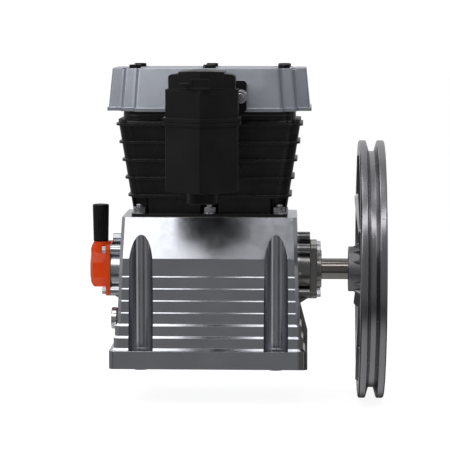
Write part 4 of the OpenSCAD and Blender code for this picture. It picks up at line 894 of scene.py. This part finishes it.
class PUMP_OT_cover_screws(bpy.types.Operator):
    """Make the screws of both end covers"""

    bl_idname = "pump.cover_screws"
    bl_label = "Cover screws"

    def execute(self, context):
        size = context.scene.pump_fasteners
        head_h, threaded, pitch = 4.4 * MM, 8 * MM, 0.8 * MM
        head = hex_solid(size.screw_flats, head_h)
        for node_name, side in (("end_cover_bolts", -1), ("seal_cover_bolts", 1)):
            low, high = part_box(node_name)
            shank = threaded_bar(size.screw_diameter, high[0] - low[0] - head_h, threaded, pitch)
            place_in_mesh(put(shank, (0, 0, 0), (180, 0, 0)))
            screw = join([copy_at(head, (0, 0, 0)), shank])
            off = high[1] - size.screw_flats / 2
            seat = low[0] + head_h if side < 0 else high[0] - head_h
            for i, (sy, sz) in enumerate(((-1, -1), (-1, 1), (1, -1), (1, 1)), 1):
                made = copy_at(screw, (seat, sy * off, CRANK_Z + sz * off), (0, 90 * side, 0))
                settle(made, f"{node_name[:-1]}_{i}", node_name, "zinc", HEX_SMOOTH)
            bpy.data.objects.remove(screw)
        bpy.data.objects.remove(head)
        return {"FINISHED"}


class PUMP_OT_intake_nuts(bpy.types.Operator):
    """Make the washers, nuts and studs of the intake flange"""

    bl_idname = "pump.intake_nuts"
    bl_label = "Intake nuts"

    def execute(self, context):
        size = context.scene.pump_fasteners
        low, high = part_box("intake_bolts")
        washer_t, nut_h, tip, threaded = 1.5 * MM, 6.5 * MM, 3 * MM, 12 * MM
        washer_r, washer_edge = size.washer_diameter / 2 - 0.1 * MM, 0.3 * MM
        length = high[1] - low[1]
        seat = length - tip - nut_h - washer_t
        nut = put(hex_solid(size.nut_flats, nut_h, both_ends=True), (0, 0, seat + washer_t))
        place_in_mesh(nut)
        stud = threaded_bar(size.stud_diameter, length, threaded, size.thread_pitch)
        washer = soft_ring(size.stud_diameter / 2, washer_r, seat, seat + washer_t, washer_edge)
        bolt = join([nut, stud, washer])
        off = high[0] - washer_r
        middle_z = (low[2] + high[2]) / 2
        for i, side in enumerate((-1, 1), 1):
            made = copy_at(bolt, (side * off, high[1], middle_z), (90, 0, 0))
            settle(made, f"intake_nut_{i}", "intake_bolts", "zinc", HEX_SMOOTH)
        bpy.data.objects.remove(bolt)
        return {"FINISHED"}


class PUMP_OT_breather(bpy.types.Operator):
    """Model the fluted breather plug"""

    bl_idname = "pump.breather"
    bl_label = "Breather"

    def execute(self, context):
        low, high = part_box("breather_plug")
        middle = ((low[0] + high[0]) / 2, (low[1] + high[1]) / 2)
        grip_r = (high[0] - low[0]) / 2
        grip_z, height = 9 * MM, high[2] - low[2]
        plug_r, foot_r = 7.4 * MM, grip_r - 0.8 * MM
        flutes, rows = 18, 6
        first_z, rise = grip_z + 1.2 * MM, height - grip_z - 3 * MM
        side = [(foot_r + (grip_r - foot_r) * k / rows, first_z + rise * k / rows) for k in range(rows + 1)]
        profile = [(0, 0), (plug_r - 0.6 * MM, 0), (plug_r, 0.8 * MM), (plug_r, grip_z),
                   (foot_r - 0.6 * MM, grip_z), (foot_r, grip_z + 0.5 * MM)] + side
        for inwards, down in ((0, 1.0), (0.3, 0.35), (1.0, 0), (2.6, 0), (3.2, 0.5)):
            profile.append((grip_r - inwards * MM, height - down * MM))
        profile.append((0, height - 0.5 * MM))
        plug = turned_piece(profile, flutes * 4)
        step = FULL_TURN / (flutes * 4)
        bottom, top = side[0][1] + 0.1 * MM, side[-1][1] - 0.1 * MM

        def in_flute(point):
            turn = round(math.atan2(point.y, point.x) / step)
            outside = math.hypot(point.x, point.y) > foot_r - 0.1 * MM
            return turn % 4 == 0 and outside and bottom < point.z < top

        choose_points(plug, in_flute)
        bpy.ops.transform.resize(value=(0.9, 0.9, 1), center_override=(0, 0, 0))
        leave_edit()
        plug.location = (middle[0], middle[1], low[2])
        settle(plug, "breather_fluted", "breather_plug", "black_plastic", 50)
        return {"FINISHED"}


class PUMP_OT_sight_glass(bpy.types.Operator):
    """Model the oil sight glass: plated ring, rubber seal and domed window"""

    bl_idname = "pump.sight_glass"
    bl_label = "Sight glass"

    def execute(self, context):
        low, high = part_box("oil_sight_ring")
        lens_low, lens_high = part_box("oil_sight_lens")
        across = (low[1] + high[1]) / 2
        up = (low[2] + high[2]) / 2
        outer = (high[2] - low[2]) / 2
        window = (lens_high[2] - lens_low[2]) / 2
        face, back = -low[0], -high[0]
        seal_back = -low[0] - 8.8 * MM
        seal_front = seal_back + 2.5 * MM
        at = (0, across, up), (0, -90, 0)
        base, front = -lens_high[0], -lens_low[0]
        rear, wall, sunk = window - 2 * MM, window - 0.1 * MM, outer - 1.6 * MM
        bezel = [(rear, back), (wall, back), (wall, seal_back), (sunk, seal_back), (sunk, seal_front),
                 (outer, seal_front), (outer, face), (window + 1.4 * MM, face), (window, face - 1.6 * MM),
                 (window, base), (rear, base), (rear, back)]
        ring = turned_piece(softened(bezel, 1.1 * MM), 64)
        settle(put(ring, *at), "oil_sight_bezel", "oil_sight_ring", "chrome")
        seal = soft_ring(outer - 1.7 * MM, outer - 0.5 * MM, seal_back, seal_front, 0.5 * MM)
        settle(put(seal, *at), "oil_sight_seal", "oil_sight_ring", "seal_rubber")
        dome = [(0, base), (window, base), (window, front - 0.6 * MM), (window * 0.75, front - 0.25 * MM),
                (window * 0.4, front), (0, front)]
        glass = turned_piece(softened(dome, 0.3 * MM, closed=False))
        settle(put(glass, *at), "oil_sight_window", "oil_sight_lens", "lens", 60)
        return {"FINISHED"}


class PUMP_OT_flywheel(bpy.types.Operator):
    """Turn the flywheel's rim and hub, and shape its fan blades"""

    bl_idname = "pump.flywheel"
    bl_label = "Flywheel"

    def rim(self, size, hub_x):
        """The rim with its belt groove; gives back its inner radius."""
        near = size.setback
        far = near + size.rim_width
        middle = (near + far) / 2
        outer = size.diameter / 2
        floor_r = outer - size.groove_depth
        inner = floor_r - size.rim_wall
        mouth, floor = size.groove_mouth / 2, size.groove_floor / 2
        chamfer, lip, slope = 1.5 * MM, 1.1 * MM, 3.5 * MM
        profile = [
            (inner, near + slope), (inner + slope, near), (outer - chamfer, near), (outer, near + chamfer),
            (outer, middle - mouth - lip / 2), (outer - lip, middle - mouth + lip / 3),
            (floor_r, middle - floor), (floor_r, middle + floor),
            (outer - lip, middle + mouth - lip / 3), (outer, middle + mouth + lip / 2),
            (outer, far - chamfer), (outer - chamfer, far), (inner + slope, far), (inner, far - slope),
            (inner, near + slope),
        ]
        made = put(turned_piece(softened(profile, 0.45 * MM, cuts=2), 180), (hub_x, 0, CRANK_Z), (0, 90, 0))
        settle(made, "flywheel_rim", "flywheel", "wheel_iron", 30)
        return inner

    def hub(self, size, hub_x):
        outer, bore = size.hub_diameter / 2, size.shaft_diameter / 2
        made = soft_ring(bore, outer, 0, size.hub_length, 1.2 * MM, 96)
        settle(put(made, (hub_x, 0, CRANK_Z), (0, 90, 0)), "flywheel_hub", "flywheel", "wheel_iron", 30)

    def blade(self, size, wheel_x, inner):
        """One blade that stands up from the hub, made by extruding and turning its outer face."""
        sunk, steps = 3 * MM, 10
        root = size.hub_diameter / 2 - sunk
        length = inner + size.rim_wall / 3 - root
        rise, turn = length / steps, size.blade_twist / steps
        section = (size.blade_width, size.blade_thickness, rise)
        made = solid_block((0, 0, root + rise / 2), section, size.blade_tilt)
        for k in range(1, steps):
            choose_faces(made, lambda middle, normal: normal.z > 0.9 and middle.z > root + rise * (k - 0.5))
            bpy.ops.mesh.extrude_region_move(TRANSFORM_OT_translate={"value": (0, 0, rise)})
            bpy.ops.transform.rotate(value=turn, orient_axis="Z", center_override=(0, 0, 0))
            leave_edit()
        half = size.rim_width / 2 - 1 * MM
        lean = size.blade_reach / length
        trim(made, [((half, 0, 0), (1, 0, 0)), ((-half - size.blade_reach, 0, root), (-1, 0, -lean))])
        bevel(made, 1.1 * MM, 2, 40)
        made.location = (wheel_x, 0, 0)
        place_in_mesh(made)
        return made

    def web(self, size, hub_x):
        """A small three-sided web that runs up from the hub to the foot of the blades."""
        hub_r, sunk = size.hub_diameter / 2, 1.5 * MM
        width, thick, height = 12 * MM, 7 * MM, 9 * MM
        made = solid_block((0, 0, hub_r - sunk + height / 2), (width, thick, height))
        choose_points(made, lambda p: p.z > hub_r and p.x < 0)
        bpy.ops.transform.translate(value=(0, 0, -height * 0.8))
        leave_edit()
        choose_points(made, lambda p: p.x < 0)
        bpy.ops.transform.resize(value=(1, 0.15, 1), center_override=(0, 0, 0))
        leave_edit()
        bevel(made, 0.6 * MM, 2)
        made.location = (hub_x + 5.6 * MM + width / 2, 0, 0)
        place_in_mesh(made)
        return made

    def execute(self, context):
        size = context.scene.pump_wheel
        hub_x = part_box("flywheel")[0][0]
        inner = self.rim(size, hub_x)
        self.hub(size, hub_x)
        blade = self.blade(size, hub_x + size.setback + size.rim_width / 2, inner)
        web = self.web(size, hub_x)
        for name, piece, count, first_turn in (("blade", blade, size.blades, 0), ("web", web, size.webs, 6)):
            for i in range(count):
                made = copy_at(piece, (0, 0, CRANK_Z), (i * 360 / count + first_turn, 0, 0))
                settle(made, f"flywheel_{name}_{i + 1}", "flywheel", "wheel_iron", 40)
            bpy.data.objects.remove(piece)
        return {"FINISHED"}


def floor_plane(studio):
    bpy.ops.object.select_all(action="DESELECT")
    middle_y = studio.floor_size / 2 - studio.floor_front
    height = SOLIDS_BOX[0][2] - studio.floor_gap
    bpy.ops.mesh.primitive_plane_add(size=studio.floor_size, location=(0, middle_y, height))
    floor = bpy.context.object
    floor.name = "studio_floor"
    place_in_mesh(floor)
    s = Surface("pale_floor")
    s.set(Base_Color=s.mix(s.noise(0.6), (0.28, 0.28, 0.28), (0.31, 0.31, 0.31)), Roughness=0.9)
    s.set(Specular_IOR_Level=0.0, Emission_Color=(1, 1, 1), Emission_Strength=studio.floor_glow)
    floor.data.materials.append(s.material)
    floor.visible_glossy = False


# Softboxes: place, width and height in metres, and strength
SOFTBOXES = (
    ("key_box", (-0.50, -0.85, 0.80), 0.95, 0.55, 2.3),
    ("strip_box", (0.45, -0.62, 0.95), 0.85, 0.22, 3.0),
    ("top_box", (-0.22, -0.10, 1.15), 0.70, 0.60, 2.0),
    ("back_box", (-0.75, 0.80, 0.90), 0.70, 0.60, 1.6),
)
AIM = (0.0, 0.0, 0.12)

# Light from the room by direction: turn to the right of the front, rise, soft edge, strength
ROOM = (
    (-20, 18, -25, 60, 7, 0.17),  # front
    (28, 44, -30, 60, 4, 0.55),  # strip on the right of the front
    (-60, -34, -30, 60, 6, 0.22),  # front left
    (-200, 200, 62, 200, 8, 0.35),  # above
    (-150, -70, -10, 62, 12, 0.4),  # left
    (75, 150, -10, 62, 12, 0.35),  # right
    (-200, -150, -10, 62, 10, 0.6),  # rear left
    (150, 200, -10, 62, 10, 0.6),  # rear right
    (-200, 200, -200, -42, 10, 0.45),  # below
)


def softbox(name, place, width, height, strength):
    """A rectangle of light, as bright all over as its strength says, aimed at the pump."""
    data = bpy.data.lights.new(name, "AREA")
    data.shape = "RECTANGLE"
    data.size, data.size_y = width, height
    data.energy = strength * math.pi * width * height
    made = bpy.data.objects.new(name, data)
    made.location = place
    made.rotation_euler = (Vector(AIM) - Vector(place)).to_track_quat("-Z", "Y").to_euler()
    bpy.context.scene.collection.objects.link(made)


def studio_sky(studio):
    """A dim room, and plain white where the camera looks past the pump."""
    world = bpy.data.worlds.new("studio_sky")
    bpy.context.scene.world = world
    world.use_nodes = True
    n = Nodes(world.node_tree)
    parts = n.split(n.add("ShaderNodeTexCoord").outputs["Generated"])
    turn = n.math("DEGREES", n.math("ARCTAN2", parts["X"], n.times(parts["Y"], -1.0)))
    rise = n.math("DEGREES", n.math("ARCSINE", parts["Z"]))
    total = studio.base_light
    for left, right, low, high, soft, strength in ROOM:
        mask = strength
        for value, edge, way in ((turn, left, 1), (turn, right, -1), (rise, low, 1), (rise, high, -1)):
            side = n.remap(value, edge - way * soft, edge + way * soft, curve="SMOOTHSTEP")
            mask = n.times(mask, side)
        total = n.math("ADD", total, mask)
    seen = n.add("ShaderNodeLightPath").outputs["Is Camera Ray"]
    light = n.add("ShaderNodeMix", {"Factor": seen, 2: total, 3: studio.seen_white})
    background = world.node_tree.nodes["Background"]
    background.inputs["Color"].default_value = (1, 1, 1, 1)
    n.give(background.inputs["Strength"], light.outputs[0])


class PUMP_OT_stage(bpy.types.Operator):
    """Set the camera, the floor and the light"""

    bl_idname = "pump.stage"
    bl_label = "Stage"

    def execute(self, context):
        studio = context.scene.pump_studio
        data = bpy.data.cameras.new("camera")
        data.sensor_width = 36
        data.lens = studio.camera_lens
        camera = bpy.data.objects.new("camera", data)
        context.scene.collection.objects.link(camera)
        camera.location = studio.camera_place
        camera.rotation_euler = Vector(studio.camera_aim).to_track_quat("-Z", "Y").to_euler()
        context.scene.camera = camera
        context.scene.view_settings.view_transform = "Standard"
        floor_plane(studio)
        for row in SOFTBOXES:
            softbox(*row)
        studio_sky(studio)
        return {"FINISHED"}


class PUMP_PT_panel(bpy.types.Panel):
    """Lists the pump's settings and steps"""

    bl_idname = "PUMP_PT_panel"
    bl_label = "Pump Head"
    bl_space_type = "VIEW_3D"
    bl_region_type = "UI"
    bl_category = "Pump Head"

    def draw(self, context):
        scene = context.scene
        for settings in (scene.pump_finish, scene.pump_fasteners, scene.pump_wheel, scene.pump_studio):
            for name in settings.bl_rna.properties.keys():
                if name not in ("rna_type", "name"):
                    self.layout.prop(settings, name)
        for step in STEPS:
            self.layout.operator(step.bl_idname)


STEPS = (
    PUMP_OT_finishes,
    PUMP_OT_castings,
    PUMP_OT_air_filter,
    PUMP_OT_end_covers,
    PUMP_OT_stud_nuts,
    PUMP_OT_head_bolts,
    PUMP_OT_cover_screws,
    PUMP_OT_intake_nuts,
    PUMP_OT_breather,
    PUMP_OT_sight_glass,
    PUMP_OT_flywheel,
    PUMP_OT_stage,
)
SETTINGS = {
    "pump_finish": FinishSettings,
    "pump_fasteners": FastenerSettings,
    "pump_wheel": WheelSettings,
    "pump_studio": StudioSettings,
}
CLASSES = (*SETTINGS.values(), *STEPS, PUMP_PT_panel)


def register():
    for made in CLASSES:
        bpy.utils.register_class(made)
    for name, kind in SETTINGS.items():
        setattr(bpy.types.Scene, name, PointerProperty(type=kind))


def unregister():
    for name in SETTINGS:
        delattr(bpy.types.Scene, name)
    for made in reversed(CLASSES):
        bpy.utils.unregister_class(made)


def main():
    register()
    bpy.ops.pump.finishes()
    bpy.ops.pump.castings()
    bpy.ops.pump.air_filter()
    bpy.ops.pump.end_covers()
    bpy.ops.pump.stud_nuts()
    bpy.ops.pump.head_bolts()
    bpy.ops.pump.cover_screws()
    bpy.ops.pump.intake_nuts()
    bpy.ops.pump.breather()
    bpy.ops.pump.sight_glass()
    bpy.ops.pump.flywheel()
    bpy.ops.pump.stage()


if __name__ == "__main__":
    main()
